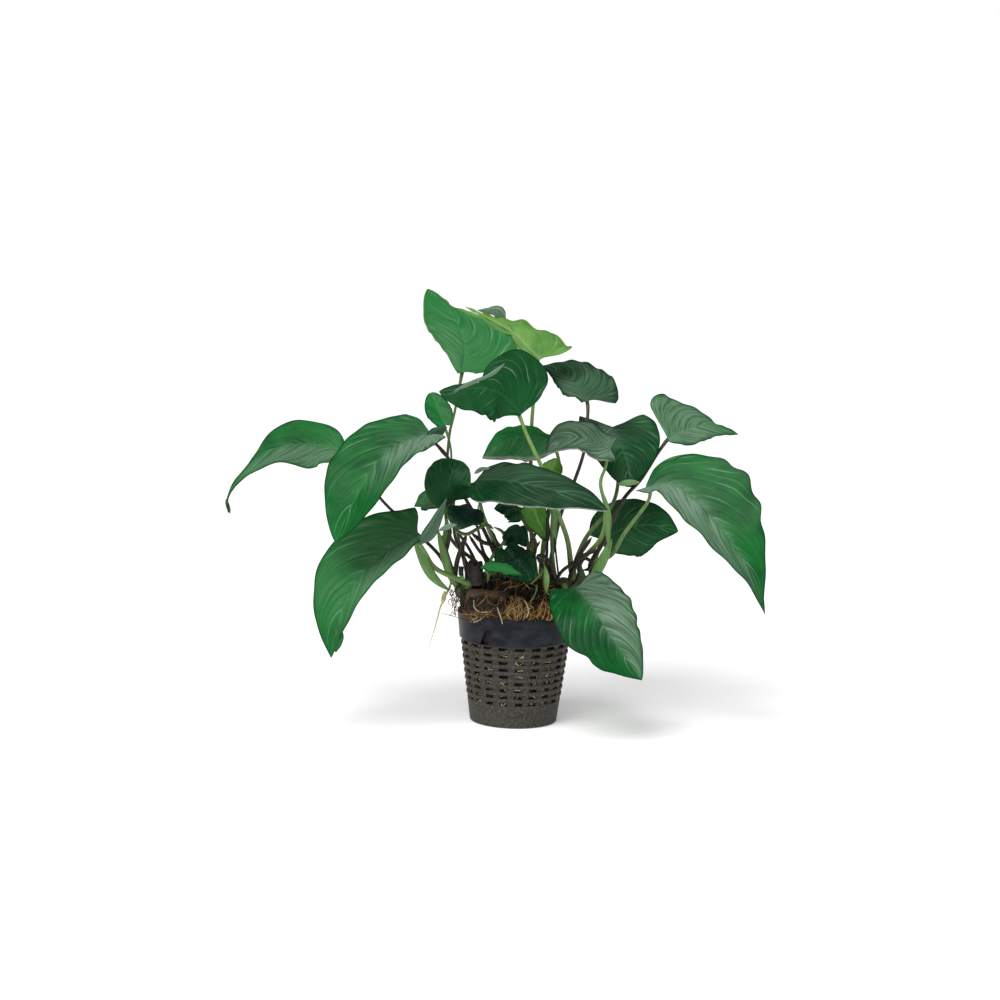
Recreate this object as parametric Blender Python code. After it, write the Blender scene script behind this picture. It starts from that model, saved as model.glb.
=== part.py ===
"""Broad-leaved water plant rooted in a small net pot.

The pot's axis is the Z axis and its base rests on z = 0. Every size below is in millimetres,
and leaves the script in metres. Azimuth 0 looks along +Y, so the front is -Y.
"""
import math

import bmesh
import bpy
from mathutils import Vector

MM = 0.001

# Net pot: a plain collar over a tapered lattice of slots
POT_HEIGHT = 50.0
RIM_RADIUS = 26.4
COLLAR_HEIGHT = 12.0
NET_HEIGHT = POT_HEIGHT - COLLAR_HEIGHT
COLLAR_FOOT_RADIUS = 25.2
NET_TOP_RADIUS = 24.5
BASE_RADIUS = 19.6
WALL = 1.1
FLOOR = 1.6
SLOT_COLUMNS = 20
SLOT_ROWS = 9
SLOT_SHARE = 0.56
SLOT_PITCH = 3.2
SLOT_HEIGHT = 1.4
NET_TOP_MARGIN = 0.7
NOTCH_SLOT_COLUMN = 18
NOTCH_HEIGHT = 6.8
COLLAR_STEP_DEPTH = 0.6
COLLAR_FOOT_WALL = 1.4

# Growing medium: fills the pot, swells over the rim and is pressed in under the rhizomes
MEDIUM_CLEARANCE = 0.5
MEDIUM_EDGE_DROP = 1.0
MEDIUM_CROWN = 14.0
CROWN_ROUND = 3.0
MEDIUM_SIDES = 18
MEDIUM_RINGS = 6
MEDIUM_LUMPS = ((0.7, 3, 1), (0.5, 7, -2))
LOG_CLEARANCE = 1.0
LOG_TRENCH_MARGIN = 2.5
LOG_TRENCH_SHARE = 0.4

# Rhizomes: the living one lies across the medium and grows out to the right
RHIZOME_PATH = ((-27, 1, 58), (-18, 5, 59), (-6, 6, 58), (7, 4, 59), (19, 4, 61), (30, 3, 63),
                (39, 2, 66))
RHIZOME_RADIUS = 4.2
RHIZOME_TIP_RADIUS = 2.4
RHIZOME_TAPER_START = 0.4
RHIZOME_RINGS = 13
RHIZOME_SIDES = 8
RHIZOME_BUMP = 0.06
OLD_RHIZOME_PATH = ((-22, -7, 57), (-12, -10, 57), (-4, -14, 57))
OLD_RHIZOME_RADIUS = 3.7
OLD_RHIZOME_RINGS = 6
STUMP_PATH = ((-18, -4.5, 61.5), (-18.5, -4.5, 67), (-19, -4.5, 72))
STUMP_RADIUS = 3.0
STUMP_RINGS = 5
AERIAL_ROOT_PATH = ((-29, -2, 64), (-30.5, -4, 59), (-33, -5, 54), (-35, -6, 47), (-37, -6, 39))
AERIAL_ROOT_RADIUS = 0.55
AERIAL_ROOT_TIP_RADIUS = 0.22
AERIAL_ROOT_RINGS = 7

# Blades and stalks: a stalk stops just short of its blade's underside and of the rhizome
BLADE_THICKNESS = 0.9
LOBE_ROUND = 0.1
LOBE_ROUND_START = 0.45
LOBE_ROUND_FADE = 0.15
TAIL_SHARE = 0.1
BIG_HALF_WIDTH = 12.0
BIG_GRID = (7, 6)
SMALL_GRID = (5, 4)
STALK_SIDES = 5
STALK_STEPS = 4
STALK_CLEARANCE = 1.4
STALK_END_SHARE = 0.02
STALK_RADII = (1.2, 0.7)
SMALL_STALK_RADII = (1.0, 0.6)
SEAT_CLEARANCE = 1.0
STALK_RISE = 5.0
PATH_SAMPLES = 60
CURVE_STEPS = 24
SHARP_ANGLE = 50

# Colours, and how rough each surface is
LEAF_TONES = dict(mid=(0.010, 0.130, 0.032), deep=(0.006, 0.062, 0.026), young=(0.095, 0.290, 0.045))
LEAF_ROUGHNESS = 0.3
STALK_TONES = dict(green=(0.160, 0.300, 0.090), dark=(0.045, 0.040, 0.028))
STALK_ROUGHNESS = 0.45
POT_COLOUR = (0.045, 0.045, 0.055)
POT_ROUGHNESS = 0.35
MEDIUM_COLOUR = (0.050, 0.032, 0.018)
MEDIUM_ROUGHNESS = 0.95
RHIZOME_COLOUR = (0.050, 0.060, 0.030)
OLD_RHIZOME_COLOUR = (0.070, 0.040, 0.025)
STUMP_COLOUR = (0.035, 0.025, 0.018)
RHIZOME_ROUGHNESS = 0.75
AERIAL_ROOT_COLOUR = (0.550, 0.500, 0.250)
AERIAL_ROOT_ROUGHNESS = 0.6

# Each leaf: "rib" is its midrib from base to tip; "face" is where its upper side looks at base,
# middle and tip, as (heading, tilt) in degrees with heading 0 the front, 90 the right and tilt 0
# straight up. Pairs are for the halves left and right of the midrib, looking from base to tip:
# "half" the greatest width, "fold" how far it rises (+) or droops (-) in degrees, "peak" the place
# of the greatest width, "base" the share of that width at the base, "tip" how sharply it narrows.
# "lobe" how far the base sweeps back. "wave" is the height and number of the margin's ripples,
# "seat" the stalk's place on the rhizome, as a share of its length and an angle round it, and
# "knees" the points it passes, from the blade down. "tone" and "stalk" name the two colours.
LEAVES = {
    "far_left": dict(
        rib=((-80, 16, 118), (-91, 18, 120), (-105, 14, 120), (-116, 8, 116), (-125, 4, 107),
             (-130, 0, 98), (-130, -2, 91)),
        face=((0, 45), (-10, 48), (-60, 50)), half=(14.5, 13.5), fold=(10, 4), peak=(0.30, 0.24),
        base=(0.42, 0.30), tip=(2.6, 5.6), lobe=(0.10, 0.02), wave=(0.8, 2.5), seat=(0.03, 70),
        knees=((-71, 14, 107), (-60, 10, 95), (-46, 7, 83), (-35, 5, 73)), stalk="dark"),
    "big_left": dict(
        rib=((-40, -5, 130), (-52, -18, 127), (-62, -30, 120), (-70, -40, 107), (-79, -46, 87)),
        face=((-10, 40), (-25, 58), (-25, 75)), half=(16.5, 19.5), fold=(16, 8), peak=(0.45, 0.52),
        base=(0.6, 0.75), tip=(0.7, 0.8), lobe=(0.05, 0.05), wave=(0.7, 3.0), seat=(0.29, 35),
        knees=((-37, -2, 124), (-32, 1, 118), (-25, 6, 101), (-15, 8, 84)), stalk="dark"),
    "low_left": dict(
        rib=((-44, -15, 86), (-55, -22, 81), (-67, -32, 71), (-74, -40, 60), (-78, -44, 48),
             (-80, -46, 36)),
        face=((-10, 40), (-20, 62), (-35, 80)), half=(11.5, 19.5), fold=(26, 20), peak=(0.30, 0.42),
        base=(0.45, 0.6), tip=(0.7, 0.95), lobe=(0.04, 0.14), wave=(0.8, 3.5), seat=(0.03, -65),
        knees=((-41, -11, 77), (-36, -7, 69))),
    "top": dict(
        rib=((-27, 8, 156), (-26, 17, 165), (-29, 27, 174), (-35, 37, 182), (-44, 46, 190)),
        face=((0, 45), (0, 42), (-20, 35)), half=(14.5, 24), fold=(8, 2), peak=(0.54, 0.20),
        base=(0.16, 0.3), lobe=(0.02, 0.02), tip=(0.7, 3.2), wave=(0.5, 3.0), seat=(0.16, 20),
        knees=((-30, 6, 137), (-32, 5, 127), (-33, 3, 99), (-30, 3, 81))),
    "top_back": dict(
        rib=((8, 26, 161), (3, 31, 165), (-7, 39, 173), (-27, 48, 182)),
        face=((0, 40), (0, 42), (0, 40)), half=(5, 16), fold=(20, 0), peak=(0.30, 0.06),
        base=(0.5, 0.95), lobe=(0.04, 0.18), tip=(1.2, 2.6), wave=(1.8, 4.0), seat=(0.55, 35),
        knees=((6, 22, 147), (5, 19, 134), (5, 15, 112), (6, 11, 85)), tone="young"),
    "upper_mid": dict(
        rib=((0, -18, 141), (-5, -18, 146), (-11, -21, 151), (-19, -26, 153), (-27, -31, 153),
             (-36, -34, 152)),
        face=((15, 50), (5, 50), (0, 50)), half=(15.5, 28), fold=(-4, 0), peak=(0.45, 0.22),
        base=(0.1, 0.5), lobe=(0.0, 0.06), tip=(0.6, 9.0), wave=(0.7, 3.0), seat=(0.80, -25),
        knees=((3, -19, 131), (11, -22, 115), (17, -16, 98), (22, -9, 84)), tone="deep"),
    "upper_right": dict(
        rib=((30, 16, 144), (25, 30, 149), (18, 42, 153), (9, 52, 155)),
        face=((0, 40), (0, 50), (0, 35)), half=(8, 16), fold=(0, 0), peak=(0.35, 0.30),
        base=(0.4, 0.6), tip=(1.1, 0.8), lobe=(0.06, 0.30), wave=(1.0, 3.0), seat=(0.66, 20),
        knees=((30, 14, 137), (29, 13, 122), (25, 12, 108), (19, 10, 92)), tone="deep", stalk="dark"),
    "right_point": dict(
        rib=((67, 22, 127), (74, 27, 130), (86, 31, 132), (100, 33, 128)),
        face=((0, 70), (5, 50), (0, 40)), half=(20, 8.5), fold=(0, 0), peak=(0.12, 0.35),
        base=(0.95, 0.3), tip=(3.4, 1.0), lobe=(-0.04, 0.05), wave=(0.8, 2.5), seat=(0.93, 45),
        knees=((62, 22, 119), (55, 18, 108), (47, 14, 99), (39, 7, 82)), stalk="dark"),
    "big_right": dict(
        rib=((56, -4, 108), (67, -10, 111), (80, -20, 103), (92, -30, 90), (102, -36, 76),
             (108, -40, 59)),
        face=((0, 35), (20, 60), (35, 80)), half=(23.8, 19), fold=(22, 28), peak=(0.31, 0.38),
        base=(0.45, 0.42), tip=(1.6, 1.0), lobe=(-0.08, 0.05), wave=(0.8, 3.5), seat=(0.98, -20),
        knees=((58, -2, 102), (53, 0, 94), (47, 1, 85), (42, 0, 76))),
    "right_low": dict(
        rib=((38, 16, 80), (49, 26, 84), (62, 32, 85), (74, 34, 82)),
        face=((0, 50), (0, 60), (10, 60)), half=(15.5, 14.5), fold=(-8, -8), peak=(0.42, 0.38),
        tip=(0.75, 0.9), lobe=(0.08, 0.08), wave=(0.5, 2.5), seat=(0.90, 85), knees=((36, 15, 73),),
        stalk="dark"),
    "pot_front": dict(
        rib=((26, -20, 65), (33, -32, 59), (41, -41, 48), (49, -46, 38), (55, -48, 30)),
        face=((10, 45), (20, 65), (30, 80)), half=(18.3, 19.5), fold=(-4, -6), peak=(0.28, 0.45),
        base=(0.78, 0.62), tip=(0.8, 1.0), lobe=(0.20, 0.10), wave=(0.7, 3.0), seat=(0.74, -85),
        knees=((24, -13, 61),)),
    "front_wide": dict(
        rib=((-19, -20, 112), (-7, -33, 114), (11, -42, 112), (27, -46, 109), (38, -48, 104)),
        face=((0, 45), (10, 50), (20, 55)), half=(13, 12.5), fold=(-8, -10), peak=(0.25, 0.10),
        base=(0.92, 0.95), tip=(0.8, 0.7), lobe=(0.04, 0.0), wave=(0.7, 3.5), seat=(0.32, -15),
        knees=((-18, -15, 106), (-16, -10, 95), (-10, -4, 80)), tone="deep"),
    "mid_wide": dict(
        rib=((40, -4, 125), (35, -4, 126), (29, -6, 129), (23, -9, 130), (17, -12, 128),
             (11, -14, 123)),
        face=((0, 40), (0, 40), (0, 45)), half=(7.5, 12), fold=(-12, -4), peak=(0.30, 0.40),
        base=(0.85, 0.7), tip=(0.8, 1.0), lobe=(0.16, 0.10), wave=(0.5, 3.5), seat=(0.86, 10),
        knees=((38, -3, 116), (36, -3, 109), (39, 0, 96), (37, 2, 83)), tone="deep"),
    "mid_bright": dict(
        rib=((15, 10, 126), (6, 6, 128), (-6, 0, 127), (-17, -4, 119)),
        face=((0, 35), (0, 45), (-10, 55)), half=(13, 8.5), fold=(-8, -10), peak=(0.45, 0.40),
        tip=(0.9, 1.0), wave=(0.6, 3.0), seat=(0.60, 0),
        knees=((17, 12, 119), (18, 12, 108), (13, 9, 90))),
    "heart_right": dict(
        rib=((42, 26, 131), (45, 18, 125), (48, 9, 117), (50, 2, 107)),
        face=((0, 45), (5, 60), (10, 70)), half=(20.0, 14.5), fold=(-6, -6), peak=(0.18, 0.15),
        base=(0.8, 0.85), tip=(0.9, 0.5), lobe=(0.20, 0.43), wave=(0.6, 2.5), seat=(0.80, 50),
        knees=((44, 27, 119), (45, 21, 107), (42, 15, 96), (31, 12, 82)), tone="deep"),
    "small_left": dict(
        rib=((-34, 8, 132), (-37, 13, 137), (-39, 17, 141), (-41, 20, 145)),
        face=((0, 50), (0, 50), (0, 45)), half=(6, 6), fold=(8, 8), tip=(0.5, 0.5),
        seat=(0.12, 60), knees=((-31, 9, 120), (-31, 9, 104), (-28, 9, 86))),
    "round_left": dict(
        rib=((-28, -12, 101), (-31, -16, 108), (-30, -15, 114), (-28, -10, 119)),
        face=((0, 60), (0, 60), (0, 40)), half=(11.5, 11), fold=(20, 20), base=(0.5, 0.6), tip=(0.6, 0.6),
        lobe=(0.0, 0.10), seat=(0.09, 0), knees=((-29, -8, 95), (-28, -4, 83)), tone="deep",
        stalk="dark"),
    "behind_left": dict(
        rib=((-33, 14, 95), (-38, 20, 97), (-43, 26, 96), (-48, 30, 91)),
        face=((0, 40), (-10, 45), (-20, 50)), half=(8, 8), seat=(0.21, 85),
        knees=((-30, 15, 86), (-22, 14, 75)), stalk="dark"),
    "dark_hanging": dict(
        rib=((-20, -14, 98), (-23, -20, 97), (-25, -26, 95), (-26, -30, 91)),
        face=((0, 30), (0, 60), (0, 70)), half=(9, 9), fold=(-6, -6), tip=(0.8, 0.8),
        seat=(0.24, -10), knees=((-18, -9, 88), (-15, -3, 76)), tone="deep", stalk="dark"),
    "small_mid": dict(
        rib=((15, -4, 110), (14, -2, 113), (15, 1, 116), (16, 4, 119)),
        face=((0, 45), (0, 45), (0, 45)), half=(5, 5), fold=(8, 8), tip=(0.8, 0.8),
        seat=(0.68, -20), knees=((15, -4, 98), (15, -2, 84)), tone="young"),
    "young_mid": dict(
        rib=((13, -4, 83), (11, -5, 88), (8, -7, 94), (6, -9, 101)),
        face=((-10, 70), (-10, 75), (-10, 75)), half=(6.5, 5.5), fold=(15, 15), peak=(0.85, 0.80),
        base=(0.12, 0.12), tip=(0.7, 0.7), lobe=(0.05, 0.05), seat=(0.58, -50), knees=((13, -3, 75),),
        tone="young"),
    "on_soil": dict(
        rib=((-15, -22, 74), (-10, -27, 75), (-4, -31, 74), (3, -33, 72)),
        face=((0, 30), (0, 25), (0, 30)), half=(4.5, 4.5), fold=(-5, -5), lobe=(0.05, 0.05),
        seat=(0.25, -40), knees=((-13, -14, 69),)),
    "crinkled_top": dict(
        rib=((1, -13, 97), (-3, -18, 100), (-7, -22, 101), (-11, -25, 100)),
        face=((0, 60), (0, 65), (-10, 60)), half=(7, 3), fold=(-10, -10), base=(0.6, 0.6),
        tip=(0.6, 0.8), wave=(0.8, 2.5), seat=(0.52, -15), knees=((3, -12, 91), (8, -9, 82)), tone="deep",
        stalk="dark"),
    "crinkled_high": dict(
        rib=((-1, -6, 80), (-1, -10, 85), (-2, -13, 88), (-3, -15, 91)),
        face=((0, 70), (0, 70), (0, 70)), half=(6.2, 5.5), fold=(-10, -10), base=(0.8, 0.8),
        tip=(0.5, 0.5), wave=(1.0, 2.5), seat=(0.44, -15), knees=((0, 1, 73),), tone="deep",
        stalk="dark"),
    "crinkled_low": dict(
        rib=((-6, -14, 81), (-2, -20, 78), (2, -25, 75), (6, -29, 69)),
        face=((0, 50), (0, 60), (0, 70)), half=(8, 9.5), fold=(-12, -12), wave=(1.2, 2.5),
        tip=(0.7, 0.6), seat=(0.36, -45), knees=((-5, -10, 73),), tone="deep", stalk="dark"),
}
PLAIN_LEAF = dict(fold=(-8, -8), peak=(0.40, 0.40), base=(0.42, 0.42), tip=(1.1, 1.1), lobe=(0.10, 0.10),
                  wave=(0.4, 2.0), tone="mid", stalk="green")


def clear_scene():
    for item in list(bpy.data.objects):
        bpy.data.objects.remove(item, do_unlink=True)


def make_material(name, colour, roughness):
    material = bpy.data.materials.new(name)
    material.use_nodes = True
    shader = material.node_tree.nodes["Principled BSDF"]
    shader.inputs["Base Color"].default_value = (*colour, 1.0)
    shader.inputs["Roughness"].default_value = roughness
    shader.inputs["Metallic"].default_value = 0.0
    return material


def add_solid(name, points, faces, colour, roughness):
    """One closed body from points in millimetres, with its faces turned outwards."""
    mesh = bpy.data.meshes.new(name)
    work = bmesh.new()
    corners = [work.verts.new(Vector(point) * MM) for point in points]
    for face in faces:
        work.faces.new([corners[index] for index in face])
    bmesh.ops.recalc_face_normals(work, faces=work.faces)
    if work.calc_volume(signed=True) < 0:
        bmesh.ops.reverse_faces(work, faces=work.faces)
    work.to_mesh(mesh)
    work.free()
    mesh.shade_smooth()
    mesh.set_sharp_from_angle(angle=math.radians(SHARP_ANGLE))
    mesh.materials.append(make_material(name, colour, roughness))
    bpy.context.scene.collection.objects.link(bpy.data.objects.new(name, mesh))


def smooth_path(points, samples):
    """Evenly spaced points on a Catmull-Rom curve through the given points."""
    knots = [Vector(point) for point in points]
    knots = [knots[0] * 2 - knots[1]] + knots + [knots[-1] * 2 - knots[-2]]
    dense = []
    for index in range(1, len(knots) - 2):
        a, b, c, d = knots[index - 1:index + 3]
        for step in range(CURVE_STEPS):
            t = step / CURVE_STEPS
            dense.append(0.5 * ((2 * b) + (c - a) * t + (2 * a - 5 * b + 4 * c - d) * t ** 2
                                + (3 * b - a - 3 * c + d) * t ** 3))
    dense.append(knots[-2])
    lengths = [0.0]
    for start, end in zip(dense, dense[1:]):
        lengths.append(lengths[-1] + (end - start).length)
    even = []
    index = 0
    for sample in range(samples):
        target = lengths[-1] * sample / (samples - 1)
        while index < len(dense) - 2 and lengths[index + 1] < target:
            index += 1
        span = lengths[index + 1] - lengths[index]
        even.append(dense[index].lerp(dense[index + 1], (target - lengths[index]) / span))
    return even


def facing(heading, tilt):
    """Unit vector tilted from straight up towards a heading, where heading 0 is the front."""
    heading = math.radians(heading)
    tilt = math.radians(tilt)
    return Vector((math.sin(tilt) * math.sin(heading), -math.sin(tilt) * math.cos(heading),
                   math.cos(tilt)))


def blend_three(values, t):
    """Smooth curve through three values at 0, 0.5 and 1."""
    first, middle, last = values
    return (first * ((1 - t) * (1 - 2 * t)) + middle * (4 * t * (1 - t)) + last * (t * (2 * t - 1)))


def outline(v, peak, tip, base):
    """Share of the greatest half-width at v, from the base (0) to the tip (1)."""
    if v < peak:
        return base + (1 - base) * math.sin(math.pi / 2 * v / peak) ** 0.9
    fall = (v - peak) / (1 - peak)
    tail = TAIL_SHARE * (1 - fall ** 8)
    return max(max(math.cos(math.pi / 2 * fall), 0.0) ** tip, tail)


def leaf_frame(leaf):
    """The midrib and, along it, its direction, side and face."""
    path = smooth_path(leaf["rib"], PATH_SAMPLES)
    looks = [facing(*pair) for pair in leaf["face"]]
    frame = []
    for index, point in enumerate(path):
        ahead = path[min(index + 1, PATH_SAMPLES - 1)]
        behind = path[max(index - 1, 0)]
        along = (ahead - behind).normalized()
        look = blend_three(looks, index / (PATH_SAMPLES - 1))
        side = along.cross(look).normalized()
        frame.append((point, along, side, side.cross(along)))
    return frame


def on_rib(frame, a):
    """The frame at share a of the midrib; behind the base it runs straight back."""
    place = min(max(a, 0.0), 1.0) * (PATH_SAMPLES - 1)
    index = min(int(place), PATH_SAMPLES - 2)
    share = place - index
    point, along, side, face = (
        first.lerp(second, share) for first, second in zip(frame[index], frame[index + 1]))
    if a < 0:
        length = (frame[1][0] - frame[0][0]).length * (PATH_SAMPLES - 1)
        point = point + along * (a * length)
    return point, along.normalized(), side.normalized(), face.normalized()


def blade_point(leaf, frame, v, u):
    """Middle of the blade at v along it and u across it, from -1 (left) to 1 (right)."""
    across = abs(u)
    which = 1 if u > 0 else 0
    share = outline(v, leaf["peak"][which], leaf["tip"][which], leaf["base"][which])
    reach = leaf["half"][which] * share * across
    corner = max(across - LOBE_ROUND_START, 0.0) / (1 - LOBE_ROUND_START)
    rounding = LOBE_ROUND * leaf["base"][which] * corner ** 2 * math.exp(-v / LOBE_ROUND_FADE)
    swept = v - leaf["lobe"][which] * (1 - v) ** 3 * across ** 1.5 + rounding
    point, along, side, face = on_rib(frame, swept)
    bend = math.radians(leaf["fold"][which] * (0.5 + 0.5 * across))
    height, count = leaf["wave"]
    ripple = height * across ** 2 * math.sin(math.tau * (count * v + 0.3 * which)) * (1 - v)
    sign = 1 if u > 0 else -1
    return (point + side * (sign * reach * math.cos(bend))
            + face * (reach * math.sin(bend) + ripple)), face


def add_blade(name, leaf):
    """A lens-shaped solid, thickest at the midrib and thin at its margin."""
    rows, columns = BIG_GRID if is_big(leaf) else SMALL_GRID
    frame = leaf_frame(leaf)
    points = []
    upper = []
    lower = []
    for row in range(rows):
        v = row / rows
        top_row = []
        under_row = []
        for column in range(columns + 1):
            u = 2 * column / columns - 1
            centre, face = blade_point(leaf, frame, v, u)
            lift = BLADE_THICKNESS / 2 * (1 - u * u)
            top_row.append(len(points))
            points.append(centre + face * lift)
            if abs(u) < 1:
                under_row.append(len(points))
                points.append(centre - face * lift)
            else:
                under_row.append(top_row[-1])
        upper.append(top_row)
        lower.append(under_row)
    tip_index = len(points)
    points.append(frame[-1][0])
    faces = []
    for grid, turn in ((upper, 1), (lower, -1)):
        for row in range(rows - 1):
            for column in range(columns):
                quad = [grid[row][column], grid[row][column + 1],
                        grid[row + 1][column + 1], grid[row + 1][column]]
                faces.append(quad[::turn])
        for column in range(columns):
            faces.append([grid[-1][column], grid[-1][column + 1], tip_index][::turn])
    for column in range(columns):
        strip = [upper[0][column + 1], upper[0][column], lower[0][column], lower[0][column + 1]]
        faces.append(list(dict.fromkeys(strip)))
    add_solid("leaf_" + name, points, faces, LEAF_TONES[leaf["tone"]], LEAF_ROUGHNESS)


def tapered(first, last, count):
    """Radii that pass evenly from the first to the last."""
    return [first + (last - first) * index / (count - 1) for index in range(count)]


def tube(path, radii, sides, bumps=0.0):
    """Points and faces of a closed tube along a path, with a flat cap at each end."""
    points = []
    faces = []
    reference = Vector((0.0, 1.0, 0.15)).normalized()
    for index, centre in enumerate(path):
        ahead = path[min(index + 1, len(path) - 1)]
        behind = path[max(index - 1, 0)]
        along = (ahead - behind).normalized()
        side = along.cross(reference).normalized()
        other = side.cross(along)
        swell = 1 + bumps * (1 if index % 2 else -1)
        for corner in range(sides):
            angle = math.tau * corner / sides
            outward = side * math.cos(angle) + other * math.sin(angle)
            points.append(centre + outward * (radii[index] * swell))
    for index in range(len(path) - 1):
        for corner in range(sides):
            after = (corner + 1) % sides
            low = index * sides
            faces.append([low + corner, low + after, low + sides + after, low + sides + corner])
    faces.append(list(range(sides))[::-1])
    last = (len(path) - 1) * sides
    faces.append([last + corner for corner in range(sides)])
    return points, faces


def rhizome_radius(share):
    """Radius of the living rhizome, which thins towards its growing end."""
    fall = max(share - RHIZOME_TAPER_START, 0.0) / (1 - RHIZOME_TAPER_START)
    return RHIZOME_RADIUS + (RHIZOME_TIP_RADIUS - RHIZOME_RADIUS) * fall


def seat_point(share, angle):
    """Centre of the living rhizome and the way out of it; angle 0 is up, positive to the back."""
    path = smooth_path(RHIZOME_PATH, PATH_SAMPLES)
    place = share * (PATH_SAMPLES - 1)
    index = min(int(place), PATH_SAMPLES - 2)
    centre = path[index].lerp(path[index + 1], place - index)
    along = (path[index + 1] - path[index]).normalized()
    up = (Vector((0, 0, 1)) - along * along.z).normalized()
    back = up.cross(along)
    angle = math.radians(angle)
    outward = up * math.cos(angle) + back * math.sin(angle)
    return centre, outward


def is_big(leaf):
    return max(leaf["half"]) > BIG_HALF_WIDTH


def add_stalk(name, leaf):
    """A tapering stalk from just off the rhizome to just under the blade's base."""
    base, along, side, face = on_rib(leaf_frame(leaf), STALK_END_SHARE)
    end = base - face * STALK_CLEARANCE
    share, angle = leaf["seat"]
    centre, outward = seat_point(share, angle)
    reach = rhizome_radius(share) * (1 + RHIZOME_BUMP) + SEAT_CLEARANCE
    start = centre + outward * reach
    rise = centre + outward * (reach + STALK_RISE)
    route = [start, rise, *reversed(leaf["knees"]), end]
    path = smooth_path(route, STALK_STEPS + len(leaf["knees"]))
    foot_radius, end_radius = STALK_RADII if is_big(leaf) else SMALL_STALK_RADII
    points, faces = tube(path, tapered(foot_radius, end_radius, len(path)), STALK_SIDES)
    add_solid("stalk_" + name, points, faces, STALK_TONES[leaf["stalk"]], STALK_ROUGHNESS)


def pot_profile_radius(z):
    """Outer radius of the net at height z."""
    return BASE_RADIUS + (NET_TOP_RADIUS - BASE_RADIUS) * z / NET_HEIGHT


def ring_points(rings, angles):
    """Points round the pot's axis, ring by ring; angle 0 is the front."""
    return [(radius * math.sin(angle), -radius * math.cos(angle), z)
            for z, radius in rings for angle in angles]


def slot_heights():
    """Top and bottom of each row of slots, from the top row down."""
    heights = []
    for row in range(SLOT_ROWS):
        top = NET_HEIGHT - NET_TOP_MARGIN - row * SLOT_PITCH
        heights += [top, top - SLOT_HEIGHT]
    return heights


def add_pot():
    """A thin shell; slots and the collar's notch are cells that open from outside to inside."""
    heights = slot_heights()
    angles = []
    for column in range(SLOT_COLUMNS):
        angles.append(math.tau * column / SLOT_COLUMNS)
        angles.append(math.tau * (column + SLOT_SHARE) / SLOT_COLUMNS)
    columns = len(angles)
    notch_share = NOTCH_HEIGHT / COLLAR_HEIGHT
    notch_radius = COLLAR_FOOT_RADIUS + (RIM_RADIUS - COLLAR_FOOT_RADIUS) * notch_share
    outer = [(POT_HEIGHT, RIM_RADIUS), (NET_HEIGHT + NOTCH_HEIGHT, notch_radius),
             (NET_HEIGHT, COLLAR_FOOT_RADIUS), (NET_HEIGHT, NET_TOP_RADIUS)]
    outer += [(z, pot_profile_radius(z)) for z in heights]
    outer += [(0.0, BASE_RADIUS)]
    inner = [(POT_HEIGHT, RIM_RADIUS - WALL), (NET_HEIGHT + NOTCH_HEIGHT, notch_radius - WALL),
             (NET_HEIGHT, COLLAR_FOOT_RADIUS - COLLAR_FOOT_WALL),
             (NET_HEIGHT - COLLAR_STEP_DEPTH, NET_TOP_RADIUS - WALL)]
    inner += [(z, pot_profile_radius(z) - WALL) for z in heights]
    inner += [(FLOOR, pot_profile_radius(FLOOR) - WALL)]
    points = ring_points(outer + inner, angles)
    rings = len(outer)
    inside = rings * columns
    open_cells = {(1, 2 * NOTCH_SLOT_COLUMN)}
    for row in range(SLOT_ROWS):
        open_cells |= {(4 + 2 * row, column) for column in range(0, columns, 2)}
    faces = []
    for ring in range(rings - 1):
        for column in range(columns):
            after = (column + 1) % columns
            a = ring * columns + column
            b = ring * columns + after
            c = b + columns
            d = a + columns
            if (ring, column) in open_cells:
                for p, q in ((a, b), (b, c), (c, d), (d, a)):
                    faces.append([q, p, inside + p, inside + q])
            else:
                faces.append([d, c, b, a])
                faces.append([inside + a, inside + b, inside + c, inside + d])
    for column in range(columns):
        after = (column + 1) % columns
        faces.append([column, after, inside + after, inside + column])
    last = (rings - 1) * columns
    faces.append([last + column for column in range(columns)])
    faces.append([inside + last + column for column in range(columns)][::-1])
    add_solid("net_pot", points, faces, POT_COLOUR, POT_ROUGHNESS)


def log_relief(x, y):
    """Highest the medium may stand under the rhizomes at a place seen from above."""
    limit = math.inf
    logs = ((RHIZOME_PATH, RHIZOME_RADIUS), (OLD_RHIZOME_PATH, OLD_RHIZOME_RADIUS),
            (STUMP_PATH, STUMP_RADIUS))
    for path, radius in logs:
        reach = radius * (1 + RHIZOME_BUMP) + LOG_CLEARANCE
        for centre in smooth_path(path, CURVE_STEPS):
            flat = math.hypot(x - centre.x, y - centre.y)
            if flat < reach + LOG_TRENCH_MARGIN:
                drop = math.sqrt(max(reach ** 2 - flat ** 2, 0.0))
                limit = min(limit, centre.z - max(drop, reach * LOG_TRENCH_SHARE))
    return limit


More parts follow.
